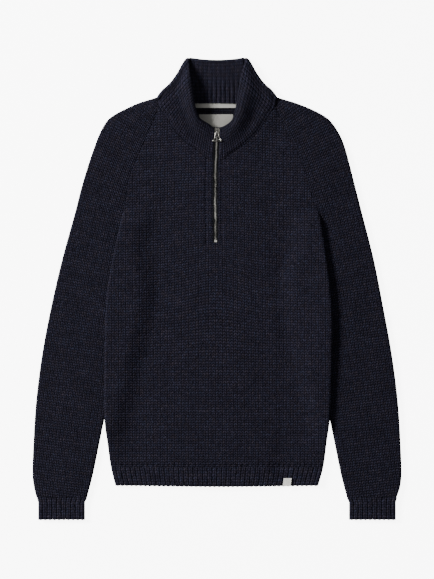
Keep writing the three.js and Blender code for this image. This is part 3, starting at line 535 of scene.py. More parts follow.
def back_cloth():
    """The back panel. Its upper face, which shows inside the neck, takes a darker copy of the knit as
    painted shade.
    """
    xs = np.arange(-BACK_COLUMNS_EACH_SIDE, BACK_COLUMNS_EACH_SIDE + 1) * WALE
    ys = np.arange(HEM_SEAM_Y + 0.3, 342, COURSE)
    x, y = np.meshgrid(xs, ys)
    wale, course = x / WALE, (y - HEM_SEAM_Y) / COURSE
    half = body_half(x, y) - 0.8
    limit = back_seam_y(np.minimum(np.abs(x), 104.6)) - 0.6
    kept = (np.abs(x) < half) & (y < limit)
    cells = kept[:-1, :-1] | kept[1:, :-1] | kept[:-1, 1:] | kept[1:, 1:]
    cells &= y[:-1, :-1] < 331
    x = np.sign(x) * np.minimum(np.abs(x), half)
    y = np.minimum(y, limit)
    top = back_top(x, y)
    folded = folded_share(y)
    left = lerp(1, round_share(half - np.abs(x)), folded)
    under = top - EDGE_RIM - (CLOTH - EDGE_RIM) * left
    uv = np.stack([wale, course], -1)
    top_points = np.stack([x, y, top], -1)
    piece = shell("back_cloth", top_points, np.stack([x, y, under], -1), uv, cells, (1, 1))
    kinds = [int(polygon.normal.z > 0.5) for polygon in piece.data.polygons]
    piece.data.polygons.foreach_set("material_index", kinds)
    return piece


# Sleeves
RAGLAN_NECK_END = [(105.2, 336.5), (105.8, 346)]  # the seam's last points, beside the neck
SLEEVE_SEAM_FROM, SLEEVE_SEAM_DIP, SLEEVE_SEAM_REACH = 0.72, 0.9, 3
HOLLOW_ROWS = 40


def sleeve_plan(name):
    """Where a place of the sleeve lies: across from the inner to the outer edge, along to the neck."""
    outer = path_of([(row[name], row["y"]) for row in reversed(SLEEVE_OUTER)])
    inner = path_of([(row[name], row["y"]) for row in reversed(SLEEVE_INNER)])
    sign = SIGN[name]
    seam_y = np.linspace(ARMPIT_Y, RAGLAN_TOP_Y, 14)
    seam_x = curve_of(BODY_SIDE, name)(seam_y) - sign * 0.6
    top = path_of([*zip(seam_x, seam_y), *((sign * x, y) for x, y in RAGLAN_NECK_END)])

    def at(across, along):
        low_x, low_y = inner(along)
        high_x, high_y = outer(along)
        end_x = lerp(inner(1.0)[0], outer(1.0)[0], across)
        end_y = lerp(inner(1.0)[1], outer(1.0)[1], across)
        top_x, top_y = top(across)
        bulge = along**3
        x = lerp(low_x, high_x, across) + (top_x - end_x) * bulge
        y = lerp(low_y, high_y, across) + (top_y - end_y) * bulge
        return x, y

    at.length = outer.length
    return at


def sleeve_stitches(sign, x, y):
    """Columns and rows of the knit at a place: these run along and across the sleeve's axis."""
    axis_x, axis_y = path_of(SLEEVE_AXIS)(np.linspace(0, 1, 400))
    run = np.concatenate([[0], np.cumsum(np.hypot(np.diff(axis_x), np.diff(axis_y)))])
    ahead_x, ahead_y = np.gradient(axis_x, run), np.gradient(axis_y, run)
    across, along = np.empty_like(x), np.empty_like(x)
    for row in range(len(x)):
        off_x = sign * x[row][:, None] - axis_x
        off_y = y[row][:, None] - axis_y
        near = np.argmin(off_x**2 + off_y**2, axis=1)
        each = np.arange(len(near))
        off_x, off_y = off_x[each, near], off_y[each, near]
        along[row] = run[near] + off_x * ahead_x[near] + off_y * ahead_y[near]
        across[row] = off_x * ahead_y[near] - off_y * ahead_x[near]
    return across / WALE, along / COURSE


def sleeve_cloth(name):
    """A sleeve: a flattened tube, knitted above and plain where it lies on the surface."""
    sign = SIGN[name]
    at = sleeve_plan(name)
    length = at.length
    rows = int(round(length / COURSE * COURSE_STEPS))
    shares, above = shares_round(SLEEVE_COLUMNS)
    across, along = np.meshgrid(shares, np.linspace(0, 1, rows + 1))
    x, y = at(across, along)
    width = np.hypot(*(np.array(at(1.0, along)) - np.array(at(0.0, along))))
    wale, course = sleeve_stitches(sign, x, y)
    plain = SLEEVE_TOP + SLEEVE_PUFF * 4 * across * (1 - across)
    seam = lerp(level_top(x, y), SLEEVE_TOP, smoothstep(0.85, 1, across))
    full = lerp(plain, seam, smoothstep(SLEEVE_SEAM_FROM, 1, along))
    beside_body = smoothstep(20, 90, y)
    inner_left = lerp(round_share(across * width), 1, beside_body)
    left = np.minimum(round_share((1 - across) * width), inner_left)
    seam_dip = SLEEVE_SEAM_DIP * bell((1 - along) * length / SLEEVE_SEAM_REACH)
    relief = stitch_relief(wale, course) * (0.3 + 0.7 * left)
    top = full / 2 * (1 + left) + relief - seam_dip
    under = np.clip(full / 2 * (1 - left), 0, top - 0.05)
    outer = np.stack([x, y, np.where(above, top, under)], -1)
    steps = np.linspace(0, 1, HOLLOW_ROWS)[:, None]
    hollow_width = np.hypot(*(np.array(at(1.0, steps)) - np.array(at(0.0, steps))))
    inner = hollow_ring(SLEEVE_COLUMNS, lambda share: at(share, steps), hollow_width, SLEEVE_TOP)
    return tube(f"sleeve_cloth_{name}", outer, inner, np.stack([wale, course], -1))


# Ribbed cuffs and hem
CUFF_LENGTH = 40
CUFF_WIDTH = 86
CUFF_EDGES = {"seam": (233.6, 324), "end": (237.4, 321.8)}  # its inner and outer side
CUFF_RIB_HEIGHT = 1.1
HEM_LENGTH = 34
HEM_RIB_HEIGHT = {"middle": 0.7, "more_at_sides": 0.45, "from_x": 70, "to_x": 170}
HEM_SAG = {"depth": 2.4, "x": 10, "reach": 140}
BEAD = 0.16  # half the height between the rows of a rib


def cuff_cloth(name):
    sign = SIGN[name]
    columns = CUFF_RIBS * 10 + 1
    shares, above = shares_round(columns)

    def place(across, along):
        pull = 1 - smoothstep(0.75, 1, along)
        inner, outer = (lerp(seam, end, pull) for seam, end in zip(CUFF_EDGES["seam"], CUFF_EDGES["end"]))
        x = sign * lerp(inner, outer, across)
        return x, lerp(CUFF_END_Y, CUFF_SEAM_Y - 0.2, along) + 0 * across

    across, along = np.meshgrid(shares, np.linspace(0, 1, 40))
    x, y = place(across, along)
    scallop = 0.8 * np.cos(2 * np.pi * across * CUFF_RIBS) * bell(along / 0.05)
    y = y + scallop * above
    left = round_share(np.minimum(across, 1 - across) * CUFF_WIDTH)
    course = along * CUFF_LENGTH / COURSE
    beads = BEAD * np.cos(2 * np.pi * course)
    relief = (rib_relief(across * CUFF_RIBS, CUFF_RIB_HEIGHT) + 0.4 + beads) * (0.25 + 0.75 * left)
    lip = 2 - round_share(along * CUFF_LENGTH, 2.5) - round_share((1 - along) * CUFF_LENGTH, 2)
    lip = 1.5 * lip
    top = SLEEVE_TOP / 2 * (1 + left) + relief - lip * left
    under = np.clip(SLEEVE_TOP / 2 * (1 - left) + lip * left, 0, top - 0.05)
    outer = np.stack([x, y, np.where(above, top, under)], -1)
    steps = np.linspace(0, 1, 6)[:, None]
    inner = hollow_ring(columns, lambda share: place(share, steps), CUFF_WIDTH, SLEEVE_TOP)
    return tube(f"cuff_cloth_{name}", outer, inner, np.stack([across * CUFF_RIBS, course], -1))


def hem_cloth():
    steps = 8
    alongs = np.linspace(0, 1, 30)
    shares = np.linspace(0, 1, HEM_RIBS * steps + 1)
    across, along = np.meshgrid(shares, alongs)
    y = lerp(HEM_END_Y, HEM_SEAM_Y - 0.1, along)
    left_x = curve_of(BODY_SIDE, "left")(y)
    right_x = curve_of(BODY_SIDE, "right")(y)
    x = lerp(left_x, right_x, across)
    sag = HEM_SAG["depth"] * bell((x - HEM_SAG["x"]) / HEM_SAG["reach"])
    y = y - sag * (1 - smoothstep(0, 1, along))
    scallop = 0.5 * np.cos(2 * np.pi * across * HEM_RIBS) * bell(along / 0.06)
    y = y + scallop
    top = front_top(x, y)
    left = round_share(np.minimum(x - left_x, right_x - x))
    below, above = along * HEM_LENGTH, (1 - along) * HEM_LENGTH
    ends = np.minimum(round_share(below, 2.5), 0.3 + 0.7 * round_share(above, 3))
    course = along * HEM_LENGTH / COURSE
    height = smoothstep(HEM_RIB_HEIGHT["from_x"], HEM_RIB_HEIGHT["to_x"], np.abs(x))
    height = HEM_RIB_HEIGHT["middle"] + HEM_RIB_HEIGHT["more_at_sides"] * height
    relief = rib_relief(across * HEM_RIBS, height) + 0.35 + BEAD * np.cos(2 * np.pi * course)
    under = top - CLOTH
    z = under + EDGE_RIM + (CLOTH - EDGE_RIM) * left * ends + relief * ends * (0.25 + 0.75 * left)
    uv = np.stack([across * HEM_RIBS, course], -1)
    cells = np.ones((len(alongs) - 1, len(shares) - 1), bool)
    return shell("hem_cloth", np.stack([x, y, z], -1), np.stack([x, y, under], -1), uv, cells, (29, 8))


# Collar
COLLAR_BACK_MID = COLLAR_CLOTH / 2
COLLAR_FOLD_RADIUS = 3.7
COLLAR_SEAM_MID = 8.8
COLLAR_SHOULDER_RISE = 1.6
FLAP_HEIGHT = {"left": 1.22, "right": 0.85}  # share of the edge's height above the seam
FLAP_FLAT = {"left": 0.46, "right": 0.24}  # share of the flap that lies level beside the seam
FLAP_RAMP = {"left": 0.46, "right": 0.6}  # share over which it rises
FLAP_EVEN = 0.15  # share of the rise that is even all the way up
FLAP_ROLL = 1.6
ROLL = {"left": (0.86, 0.15, 0.92), "right": (0.7, 0.2, 0.76)}  # crest, half width, curl
RIM_DROP = 3.4  # how far the rolled edge curls down again
COLLAR_RIB_HEIGHT = 1.3
COLLAR_BACK_TOP = {"middle": 412.4, "rise": 3.8, "reach": 46}
CORNER_LIFT = 6.5  # how much higher the back's rim stands than the flap's at the corners
BACK_SIDE = 0.5  # share of the back's columns that lies outside the upright ribs
BACK_UPRIGHT_X = 48  # where these end
BACK_HALF_RIBS = 12
FOLD_BLEND = 0.8
FOLD_STRETCH = 34
RIB_STEPS = 6

fold_x = curve_of(COLLAR_FOLD, "x", "rise")
fold_y = curve_of(COLLAR_FOLD, "y", "rise")
fold_facing = curve_of(COLLAR_FOLD, "facing", "rise")


def fold_out(sign, rise):
    """The level direction in which the side fold faces."""
    angle = np.radians(fold_facing(rise))
    return sign * np.cos(angle), np.sin(angle)


def fold_centre(sign, rise):
    reach = COLLAR_FOLD_RADIUS + COLLAR_CLOTH / 2
    out_x, out_y = fold_out(sign, rise)
    return sign * fold_x(rise) - reach * out_x, fold_y(rise) - reach * out_y


def flap_points(name, along, rise):
    sign = SIGN[name]
    seam = path_of([(sign * row["x"], row["y"]) for row in NECK_SEAM[1:]])
    low_x, low_y = seam(along)
    low_z = COLLAR_SEAM_MID + COLLAR_SHOULDER_RISE * smoothstep(0.3, 0.8, along)
    low_x = lerp(sign * SLIT_HALF, low_x, smoothstep(0, 0.02, along))
    high_x = curve_of(FLAP_EDGE, f"{name}X", "along")(along)
    high_y = curve_of(FLAP_EDGE, f"{name}Y", "along")(along)
    high_z = low_z + (curve_of(FLAP_EDGE, "z", "along")(along) - low_z) * FLAP_HEIGHT[name]
    middle = np.sin(np.pi * np.clip(along, 0, 1)) ** 0.7
    crest, spread, curl = ROLL[name]
    roll = FLAP_ROLL * bell((rise - crest) / spread) - RIM_DROP * smoothstep(curl, 1, rise)
    roll = roll * middle
    x = lerp(low_x, high_x, rise)
    y = lerp(low_y, high_y, rise)
    climb = smoothstep(FLAP_FLAT[name], FLAP_FLAT[name] + FLAP_RAMP[name], rise)
    z = lerp(low_z, high_z, lerp(climb, rise, FLAP_EVEN)) + roll
    x = beside_zip(x, y)
    blend = smoothstep(FOLD_BLEND, 1, along)
    centre_x, centre_y = fold_centre(sign, rise)
    out_x, out_y = fold_out(sign, rise)
    inwards = (1 - along) * FOLD_STRETCH
    folded_z = COLLAR_BACK_MID + 2 * COLLAR_FOLD_RADIUS
    x = lerp(x, centre_x - inwards * out_x, blend)
    y = lerp(y, centre_y - inwards * out_y, blend)
    return x, y, lerp(z, folded_z, blend)


def corner_lift(rise):
    return CORNER_LIFT * smoothstep(0.72, 1, rise)


def fold_points(name, turn, rise):
    sign = SIGN[name]
    centre_x, centre_y = fold_centre(sign, rise)
    out_x, out_y = fold_out(sign, rise)
    angle = np.pi * (0.5 - turn)
    out = COLLAR_FOLD_RADIUS * np.cos(angle)
    z = COLLAR_BACK_MID + COLLAR_FOLD_RADIUS * (1 + np.sin(angle))
    return centre_x + out * out_x, centre_y + out * out_y + turn * corner_lift(rise), z


def collar_back_points(name, along, rise):
    sign = SIGN[name]
    seam = path_of([(sign * row["x"], row["y"]) for row in reversed(BACK_NECK_SEAM)])
    start_x, start_y = fold_centre(sign, rise)
    _, seam_y = seam(along)
    seam_y = seam_y - 2.2
    upright = np.minimum(BACK_UPRIGHT_X, np.abs(start_x) * 0.94)
    beside = lerp(np.abs(start_x), upright, along / BACK_SIDE)
    within = upright * (1 - (along - BACK_SIDE) / (1 - BACK_SIDE))
    x = sign * np.where(along < BACK_SIDE, beside, within)
    reach = np.minimum(np.abs(x) / COLLAR_BACK_TOP["reach"], 1)
    end_y = lerp(seam_y, COLLAR_BACK_TOP["middle"] + COLLAR_BACK_TOP["rise"] * reach**2, rise)
    y = lerp(start_y + corner_lift(rise), end_y, smoothstep(0, 0.16, along))
    return x, y, np.full_like(x, COLLAR_BACK_MID)


def collar_cloth():
    rises = np.concatenate([np.linspace(0, 0.9, 40), np.linspace(0.915, 1, 8)])
    flap = np.linspace(0, 1, FLAP_RIBS * RIB_STEPS, endpoint=False)
    turn = np.linspace(0, 1, 12, endpoint=False)
    back = np.linspace(0, 1, BACK_HALF_RIBS * RIB_STEPS + 1)
    halves = []
    for name in ("left", "right"):
        parts = []
        for values, make in ((flap, flap_points), (turn, fold_points), (back, collar_back_points)):
            value, rise = np.meshgrid(values, rises)
            parts.append(np.stack(make(name, value, rise), -1))
        halves.append(np.concatenate(parts, 1))
    left, right = halves
    mid = np.concatenate([left, right[:, :-1][:, ::-1]], 1)
    one_side = [(flap * FLAP_RIBS, 0), (turn * 2, 1), (back * BACK_HALF_RIBS, 2)]
    count = np.concatenate([values for values, _ in one_side])
    region = np.concatenate([np.full(len(values), kind) for values, kind in one_side])
    count = np.concatenate([count, count[:-1][::-1]])
    region = np.concatenate([region, region[:-1][::-1]])
    normal = np.cross(np.gradient(mid, axis=1), np.gradient(mid, axis=0))
    normal /= np.maximum(np.linalg.norm(normal, axis=-1, keepdims=True), 1e-9)
    rise = rises[:, None] * np.ones(mid.shape[1])
    count = count[None, :] * np.ones_like(rise)
    length = 60
    rim = round_share((1 - rise) * length, 4)
    half = COLLAR_CLOTH / 2 * (0.2 + 0.8 * rim)
    pitch = np.linalg.norm(np.gradient(mid, axis=1), axis=-1) * RIB_STEPS
    course = rise * length / COURSE
    beads = BEAD * np.cos(2 * np.pi * course)
    shown = np.clip((pitch - 1.5) / 2.5, 0, 1) * rim
    flap_rib = rib_relief(count, COLLAR_RIB_HEIGHT) + 0.3 + beads
    flap_rib = flap_rib * np.minimum(1, 0.25 + rise * 7) * shown * (region == 0)
    back_rib = rib_relief(count, lerp(2.0, 0.5, smoothstep(0.3, 0.65, rise))) + 0.7 + 1.2 * beads
    back_rib = back_rib * shown * (region == 2)
    # The visible face runs down to the front's own level at the seam
    settle = np.where(region == 0, lerp(0.2, 1, smoothstep(0, 0.16, rise)), 1)
    outer = mid + normal * (half + back_rib)[..., None]
    inner = mid - normal * (half * settle + flap_rib)[..., None]
    outer[..., 2] = np.maximum(outer[..., 2], 0.02)
    inner[..., 2] = np.maximum(inner[..., 2], 0.02)
    uv = np.stack([count, course], -1)
    index = np.arange(rise.size).reshape(rise.shape)
    quads = np.stack([index[:-1, :-1], index[:-1, 1:], index[1:, 1:], index[1:, :-1]], -1).reshape(-1, 4)
    faces = [quads, quads[:, ::-1] + rise.size]
    for line, turned in ((index[0], True), (index[-1], False), (index[:, 0], False), (index[:, -1], True)):
        a, b = line[:-1], line[1:]
        edge = np.stack([a, b, b + rise.size, a + rise.size], 1)
        faces.append(edge if turned else edge[:, ::-1])
    points = np.concatenate([outer.reshape(-1, 3), inner.reshape(-1, 3)])
    faces = np.concatenate(faces)
    kinds = np.zeros(len(faces), int)
    kinds[: len(quads)] = np.tile(region[:-1] == 2, len(rises) - 1)
    uv = np.concatenate([uv.reshape(-1, 2)] * 2)
    return face_outwards(mesh_object("collar_cloth", points, faces, uv, kinds=kinds))


# Zip
TOOTH_PITCH = 1.35
TOOTH = {"width": 3.1, "depth": 1.0, "height": 2.4, "stagger": 0.55, "taper": 0.72}
STOP_TOP_Y = 88
SLIDER_LOW_Y = 275.4


def block_points(width, depth, height, taper):
    """A block with its upper edges drawn in."""
    corners = []
    for z, share in ((0, 1), (height * 0.7, 1), (height, taper)):
        w, d = width / 2 * share, depth / 2 * share
        corners += [(-w, -d, z), (w, -d, z), (w, d, z), (-w, d, z)]
    return np.array(corners)


BLOCK_FACES = [(3, 2, 1, 0), (8, 9, 10, 11)] + [
    (k + ring, (k + 1) % 4 + ring, (k + 1) % 4 + ring + 4, k + ring + 4) for ring in (0, 4) for k in range(4)
]


def zip_teeth():
    points, faces = [], []
    count = int((SLIDER_LOW_Y - 0.4 - STOP_TOP_Y - 0.4) / TOOTH_PITCH)
    for k in range(count):
        y = STOP_TOP_Y + 1 + k * TOOTH_PITCH
        wander = 0.25 * math.sin(y / 9.0) + 0.2 * math.sin(y / 3.7)
        side = TOOTH["stagger"] * (1 if k % 2 else -1)
        block = block_points(TOOTH["width"], TOOTH["depth"], TOOTH["height"], TOOTH["taper"])
        lean = 0.05 * math.sin(k * 2.4)
        x = block[:, 0] * math.cos(lean) - block[:, 1] * math.sin(lean)
        depth = block[:, 0] * math.sin(lean) + block[:, 1] * math.cos(lean)
        block = np.stack([x + zip_x(y) + side + wander, depth + y, block[:, 2] + tape_top(y) + 0.5], -1)
        faces += [tuple(i + len(points) * len(block) for i in face) for face in BLOCK_FACES]
        points.append(block)
    return mesh_object("zip_teeth", np.concatenate(points), faces, smooth=False)


SLIDER_BASE_Z = 8.36
SLIDER_FACE_Z = 13.16
SLIDER_SIDE = table(
    "y half",
    (SLIDER_LOW_Y, 4.2),
    (277.5, 4.3),
    (280, 4.5),
    (283, 5.2),
    (286, 5.5),
    (288, 4.9),
    (289.4, 3.6),
    (290, 2.2),
)
SLIDER_NOTCH = [(0.9, 289.2), (0, 288.7), (-0.9, 289.2)]
SLIDER_CENTRE_Y = 282.7
SLIDER_LAYERS = [(0, 0.95), (0.5, 1), (3.4, 1), (4.2, 0.95), (4.7, 0.84), (4.8, 0.7)]  # height, share
BAIL = {"low": 277.4, "high": 285.5, "rise": 3.1, "half_width": 1.2, "half_wall": 0.55, "sunk": 0.4}
PIVOT = (0, 281.4, 14.46)
# The right half of the pull's centreline about the pivot, and the wire's radius
PULL_HALF = [
    (1.9, 0, 0, 0.8),
    (3.0, -2.2, 0.2, 0.8),
    (3.8, -8, 0.6, 0.75),
    (5.6, -13.0, 1.6, 0.85),
    (7.3, -15.2, 2.1, 1.7),
    (5.4, -15.8, 2.1, 0.9),
]


def wire(centres, across_radii, up_radii, sides, closed):
    """A bent wire: rings of points along its centreline, and its faces."""
    if closed:
        ahead = np.roll(centres, -1, 0) - np.roll(centres, 1, 0)
    else:
        ahead = np.gradient(centres, axis=0)
    ahead /= np.linalg.norm(ahead, axis=1, keepdims=True)
    across = np.cross([1.0, 0, 0] if not closed else [0, 0, 1.0], ahead)
    across /= np.linalg.norm(across, axis=1, keepdims=True)
    up = np.cross(ahead, across)
    angle = 2 * np.pi * np.arange(sides) / sides
    rings = centres[:, None] + across[:, None] * (np.cos(angle)[None, :, None] * across_radii[:, None, None])
    rings = rings + up[:, None] * (np.sin(angle)[None, :, None] * up_radii[:, None, None])
    count = len(centres)
    faces = []
    for i in range(count if closed else count - 1):
        for k in range(sides):
            after, beside = (i + 1) % count, (k + 1) % sides
            faces.append((i * sides + k, i * sides + beside, after * sides + beside, after * sides + k))
    if not closed:
        faces += [tuple(range(sides))[::-1], tuple((count - 1) * sides + k for k in range(sides))]
    return rings.reshape(-1, 3), faces


def zip_pull():
    """The pull: one closed wire that widens from the bail to a bar with a ball at each end."""
    right = np.array(PULL_HALF, float)
    left = right[::-1] * [-1, 1, 1, 1]
    control = np.roll(np.concatenate([right, left]), 1, axis=0)
    fine = []
    for i in range(len(control)):
        a, b, c, d = (control[(i + k) % len(control)] for k in (-1, 0, 1, 2))
        squared, cubed = 2 * a - 5 * b + 4 * c - d, 3 * b - a - 3 * c + d
        for t in np.linspace(0, 1, 9)[:-1]:
            fine.append(0.5 * (2 * b + (c - a) * t + squared * t**2 + cubed * t**3))
    fine = np.array(fine)
    points, faces = wire(fine[:, :3] + np.array(PIVOT), fine[:, 3], fine[:, 3], 14, True)
    return mesh_object("wire_pull", points, faces)


def zip_slider():
    """The slider: a shield-shaped body with eased edges and a notch above, and an arch for the pull."""
    half_at = curve_of(SLIDER_SIDE, "half")
    ys = np.concatenate([np.linspace(SLIDER_LOW_Y, 288, 14), np.linspace(288.4, 290, 6)])
    right = [(half_at(y), y) for y in ys]
    left = [(-x, y) for x, y in reversed(right)]
    outline = np.array(right + SLIDER_NOTCH + left)
    centre = np.array([0, SLIDER_CENTRE_Y])
    points = []
    for height, share in SLIDER_LAYERS:
        ring = centre + (outline - centre) * share
        points.append(np.column_stack([ring, np.full(len(ring), SLIDER_BASE_Z + height)]))
    count = len(outline)
    faces = [tuple(range(count))[::-1], tuple(range((len(points) - 1) * count, len(points) * count))]
    for layer in range(len(points) - 1):
        base = layer * count
        for k in range(count):
            after = base + (k + 1) % count
            faces.append((base + k, after, after + count, base + k + count))
    points = np.concatenate(points)
    turn = np.linspace(0, np.pi, 21)
    middle, reach = (BAIL["low"] + BAIL["high"]) / 2, (BAIL["high"] - BAIL["low"]) / 2
    arch_y = middle - reach * np.cos(turn)
    arch_z = SLIDER_FACE_Z - BAIL["sunk"] + BAIL["rise"] * np.sin(turn) ** 0.7
    arch = np.column_stack([0 * turn, arch_y, arch_z])
    wall, width = np.full(len(turn), BAIL["half_wall"]), np.full(len(turn), BAIL["half_width"])
    bail_points, bail_faces = wire(arch, wall, width, 14, False)
    faces += [tuple(i + len(points) for i in face) for face in bail_faces]
    return mesh_object("slider_body", np.concatenate([points, bail_points]), faces, smooth=False)


# Materials
class Nodes:
    """A short way to build a material's node tree."""

    def __init__(self, name):
        self.material = bpy.data.materials.new(name)
        self.material.use_nodes = True
        self.tree = self.material.node_tree
        self.tree.nodes.clear()
        self.out = self.add("ShaderNodeOutputMaterial")
        self.shader = self.add("ShaderNodeBsdfPrincipled")
        self.link(self.shader, "BSDF", self.out, "Surface")

    def add(self, kind, **settings):
        node = self.tree.nodes.new(kind)
        for key, value in settings.items():
            if hasattr(node, key):
                setattr(node, key, value)
            else:
                node.inputs[key].default_value = value
        return node

    def link(self, a, output, b, socket):
        self.tree.links.new(a.outputs[output], b.inputs[socket])

    def math(self, operation, a, b=None, c=None):
        node = self.add("ShaderNodeMath", operation=operation)
        for socket, value in zip(node.inputs, (a, b, c)):
            if value is None:
                continue
            if isinstance(value, (int, float)):
                socket.default_value = value
            else:
                self.tree.links.new(value, socket)
        return node.outputs[0]

    def times(self, a, b):
        return self.math("MULTIPLY", a, b)

    def scaled(self, value, factor, offset):
        return self.math("MULTIPLY_ADD", value, factor, offset)

    def feed(self, value, node, socket):
        self.tree.links.new(value, node.inputs[socket])

    def set(self, socket, value):
        self.shader.inputs[socket].default_value = value

    def noise(self, vector, scale, detail=2.0, roughness=0.5):
        node = self.add("ShaderNodeTexNoise", Scale=scale, Detail=detail, Roughness=roughness)
        self.tree.links.new(vector, node.inputs["Vector"])
        return node.outputs["Fac"]

    def mix(self, fac, a, b, blend="MIX"):
        node = self.add("ShaderNodeMix", data_type="RGBA", blend_type=blend)
        for socket, value in ((node.inputs[0], fac), (node.inputs[6], a), (node.inputs[7], b)):
            if isinstance(value, (int, float, tuple)):
                socket.default_value = value
            else:
                self.tree.links.new(value, socket)
        return node.outputs[2]


NAVY = (0.0157, 0.0138, 0.0250, 1)
NAVY_BLUE = (0.0180, 0.0195, 0.0362, 1)
NAVY_BROWN = (0.0250, 0.0200, 0.0275, 1)


def knit_material(name, ribbed=0.0, course_share=0.6, gain=1.0, depth=1.9, across=1.0):
    """Stockinette or rib in melange yarn: the legs of the stitches, their gaps painted dark as shade, and
    their tones.
    """
    n = Nodes(name)
    uv = n.add("ShaderNodeUVMap", uv_map="knit")
    place = n.add("ShaderNodeTexCoord").outputs["Object"]
    split = n.add("ShaderNodeSeparateXYZ")
    n.link(uv, "UV", split, "Vector")
    u, v = n.times(split.outputs[0], across), split.outputs[1]
    wobble = n.scaled(n.noise(place, 160, 2, 0.5), 0.5, -0.25)
    v = n.math("ADD", v, wobble)
    u = n.math("ADD", u, n.scaled(n.noise(place, 210, 2, 0.5), 0.6, -0.3))
    valley = None
    if ribbed:
        off = n.math("ABSOLUTE", n.math("SUBTRACT", n.math("FRACT", u), 0.5))
        valley = n.math("POWER", n.times(off, 2.0), 3.0)
    leg = n.math("ABSOLUTE", n.math("SUBTRACT", n.math("FRACT", u), 0.5))
    leg = n.times(leg, 2.0)
    lean = n.math("ADD", v, n.times(leg, LEG_LEAN))
    column = n.math("POWER", n.math("SINE", n.times(leg, math.pi)), 0.6)
    column = n.math("MAXIMUM", column, n.scaled(leg, -0.25, 0.62))
    bead = n.scaled(n.math("COSINE", n.times(lean, 2 * math.pi)), -0.5, 0.5)
    rows = n.scaled(bead, course_share, 1 - course_share)
    stitch = n.times(column, rows)
    # Each leg of a stitch has its own tone, as yarn spun from several colours gives
    cell = n.add("ShaderNodeCombineXYZ")
    n.feed(n.math("FLOOR", n.times(u, 2.0)), cell, 0)
    n.feed(n.math("FLOOR", lean), cell, 1)
    tone = n.add("ShaderNodeTexWhiteNoise", noise_dimensions="3D")
    n.link(cell, "Vector", tone, "Vector")
    tones = n.add("ShaderNodeSeparateColor")
    n.link(tone, "Color", tones, "Color")
    fleck = n.noise(place, 620, 3, 0.7)
    fleck = n.scaled(fleck, 2.6, -0.8)
    blue = n.times(n.math("POWER", tones.outputs[0], 1.6), 0.95)
    brown = n.times(n.math("POWER", tones.outputs[1], 2.6), 0.75)
    colour = n.mix(brown, n.mix(blue, NAVY, NAVY_BLUE), NAVY_BROWN)
    bright = n.scaled(tones.outputs[2], 0.4, 0.8)
    bright = n.times(bright, n.scaled(fleck, 0.7, 0.6))
    # The gaps between the legs and between the rows are painted dark, as the shade that falls into them
    bright = n.times(bright, n.scaled(n.math("POWER", stitch, 1.6), depth, 0.06))
    bright = n.times(bright, n.scaled(n.noise(place, 30, 3, 0.7), 0.3, 0.85))
    # The yarn runs along the rows, so its shades do too
    yarn = n.add("ShaderNodeCombineXYZ")
    n.feed(n.times(u, 0.13), yarn, 0)
    n.feed(n.scaled(n.math("FLOOR", lean), 0.43, 0.21), yarn, 1)
    streak = n.noise(yarn.outputs[0], 1.0, 2, 0.6)
    bright = n.times(bright, n.scaled(streak, 0.75, 0.62))
    # The valleys between the ribs are painted darker still, as their shade
    if ribbed:
        bright = n.times(bright, n.scaled(valley, -ribbed, 1.0 + ribbed / 7))
    bright = n.times(bright, gain)
    shade = n.add("ShaderNodeCombineColor")
    for socket in shade.inputs[:3]:
        n.tree.links.new(bright, socket)
    colour = n.mix(1.0, colour, shade.outputs[0], "MULTIPLY")
    n.feed(colour, n.shader, "Base Color")
    n.set("Roughness", 0.95)
    n.set("Specular IOR Level", 0.04)
    n.set("Sheen Weight", 0.04)
    n.set("Sheen Roughness", 0.5)
    n.set("Sheen Tint", (0.55, 0.6, 0.85, 1))
    fibre = n.noise(place, 2200, 2, 0.6)
    height = n.scaled(fibre, 0.2, n.times(stitch, 0.8))
    bump = n.add("ShaderNodeBump", Strength=1.0, Distance=0.0018)
    n.feed(height, bump, "Height")
    n.link(bump, "Normal", n.shader, "Normal")
    return n.material


def woven_material(name, colour, dark, thread, roughness, sheen=0.0, shaded=None):
    """A fine weave. Its left end can be painted darker as shade, over a width from a start."""
    n = Nodes(name)
    place = n.add("ShaderNodeTexCoord").outputs["Object"]
    split = n.add("ShaderNodeSeparateXYZ")
    n.feed(place, split, 0)
    across = n.math("SINE", n.times(split.outputs[0], 2 * math.pi / thread))
    down = n.math("SINE", n.times(split.outputs[1], 2 * math.pi / thread))
    weave = n.scaled(n.times(across, down), 0.5, 0.5)
    soft = n.noise(place, 120, 3, 0.6)
    tone = n.scaled(soft, 0.5, n.times(weave, 0.5))
    shade = n.mix(tone, dark, colour)
    if shaded:
        # The collar folds over this end, so it is painted darker to come near the shade that it lies in
        start, width = shaded
        unshaded_share = n.scaled(split.outputs[0], 1 / width, -start / width)
        unshaded_share = n.math("MINIMUM", n.math("MAXIMUM", unshaded_share, 0.0), 1.0)
        shade = n.mix(unshaded_share, n.mix(0.62, dark, (0.01, 0.01, 0.01, 1)), shade)
    n.feed(shade, n.shader, "Base Color")
    n.set("Roughness", roughness)
    n.set("Sheen Weight", sheen)
    bump = n.add("ShaderNodeBump", Strength=0.5, Distance=0.0002)
    n.feed(weave, bump, "Height")
    n.link(bump, "Normal", n.shader, "Normal")
    return n.material


def metal_material(name, dark, light):
    n = Nodes(name)
    place = n.add("ShaderNodeTexCoord").outputs["Object"]
    patches = n.scaled(n.noise(place, 75, 2, 0.5), 1.4, -0.5)
    wear = n.math("ADD", n.times(n.noise(place, 700, 4, 0.65), 0.6), patches)
    colour = n.mix(wear, dark, light)
    n.feed(colour, n.shader, "Base Color")
    n.set("Metallic", 1.0)
    rough = n.scaled(wear, 0.25, 0.18)
    n.feed(rough, n.shader, "Roughness")
    bump = n.add("ShaderNodeBump", Strength=0.25, Distance=0.0001)
    n.feed(wear, bump, "Height")
    n.link(bump, "Normal", n.shader, "Normal")
    return n.material


def dress(piece, material, body="garment", replaces=(), inside=None):
    kinds = [polygon.material_index for polygon in piece.data.polygons]
    piece.data.materials.clear()
    piece.data.materials.append(material)
    if inside:
        piece.data.materials.append(inside)
        piece.data.polygons.foreach_set("material_index", kinds)
    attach(piece, body)
    if replaces:
        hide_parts(*replaces)
    return piece


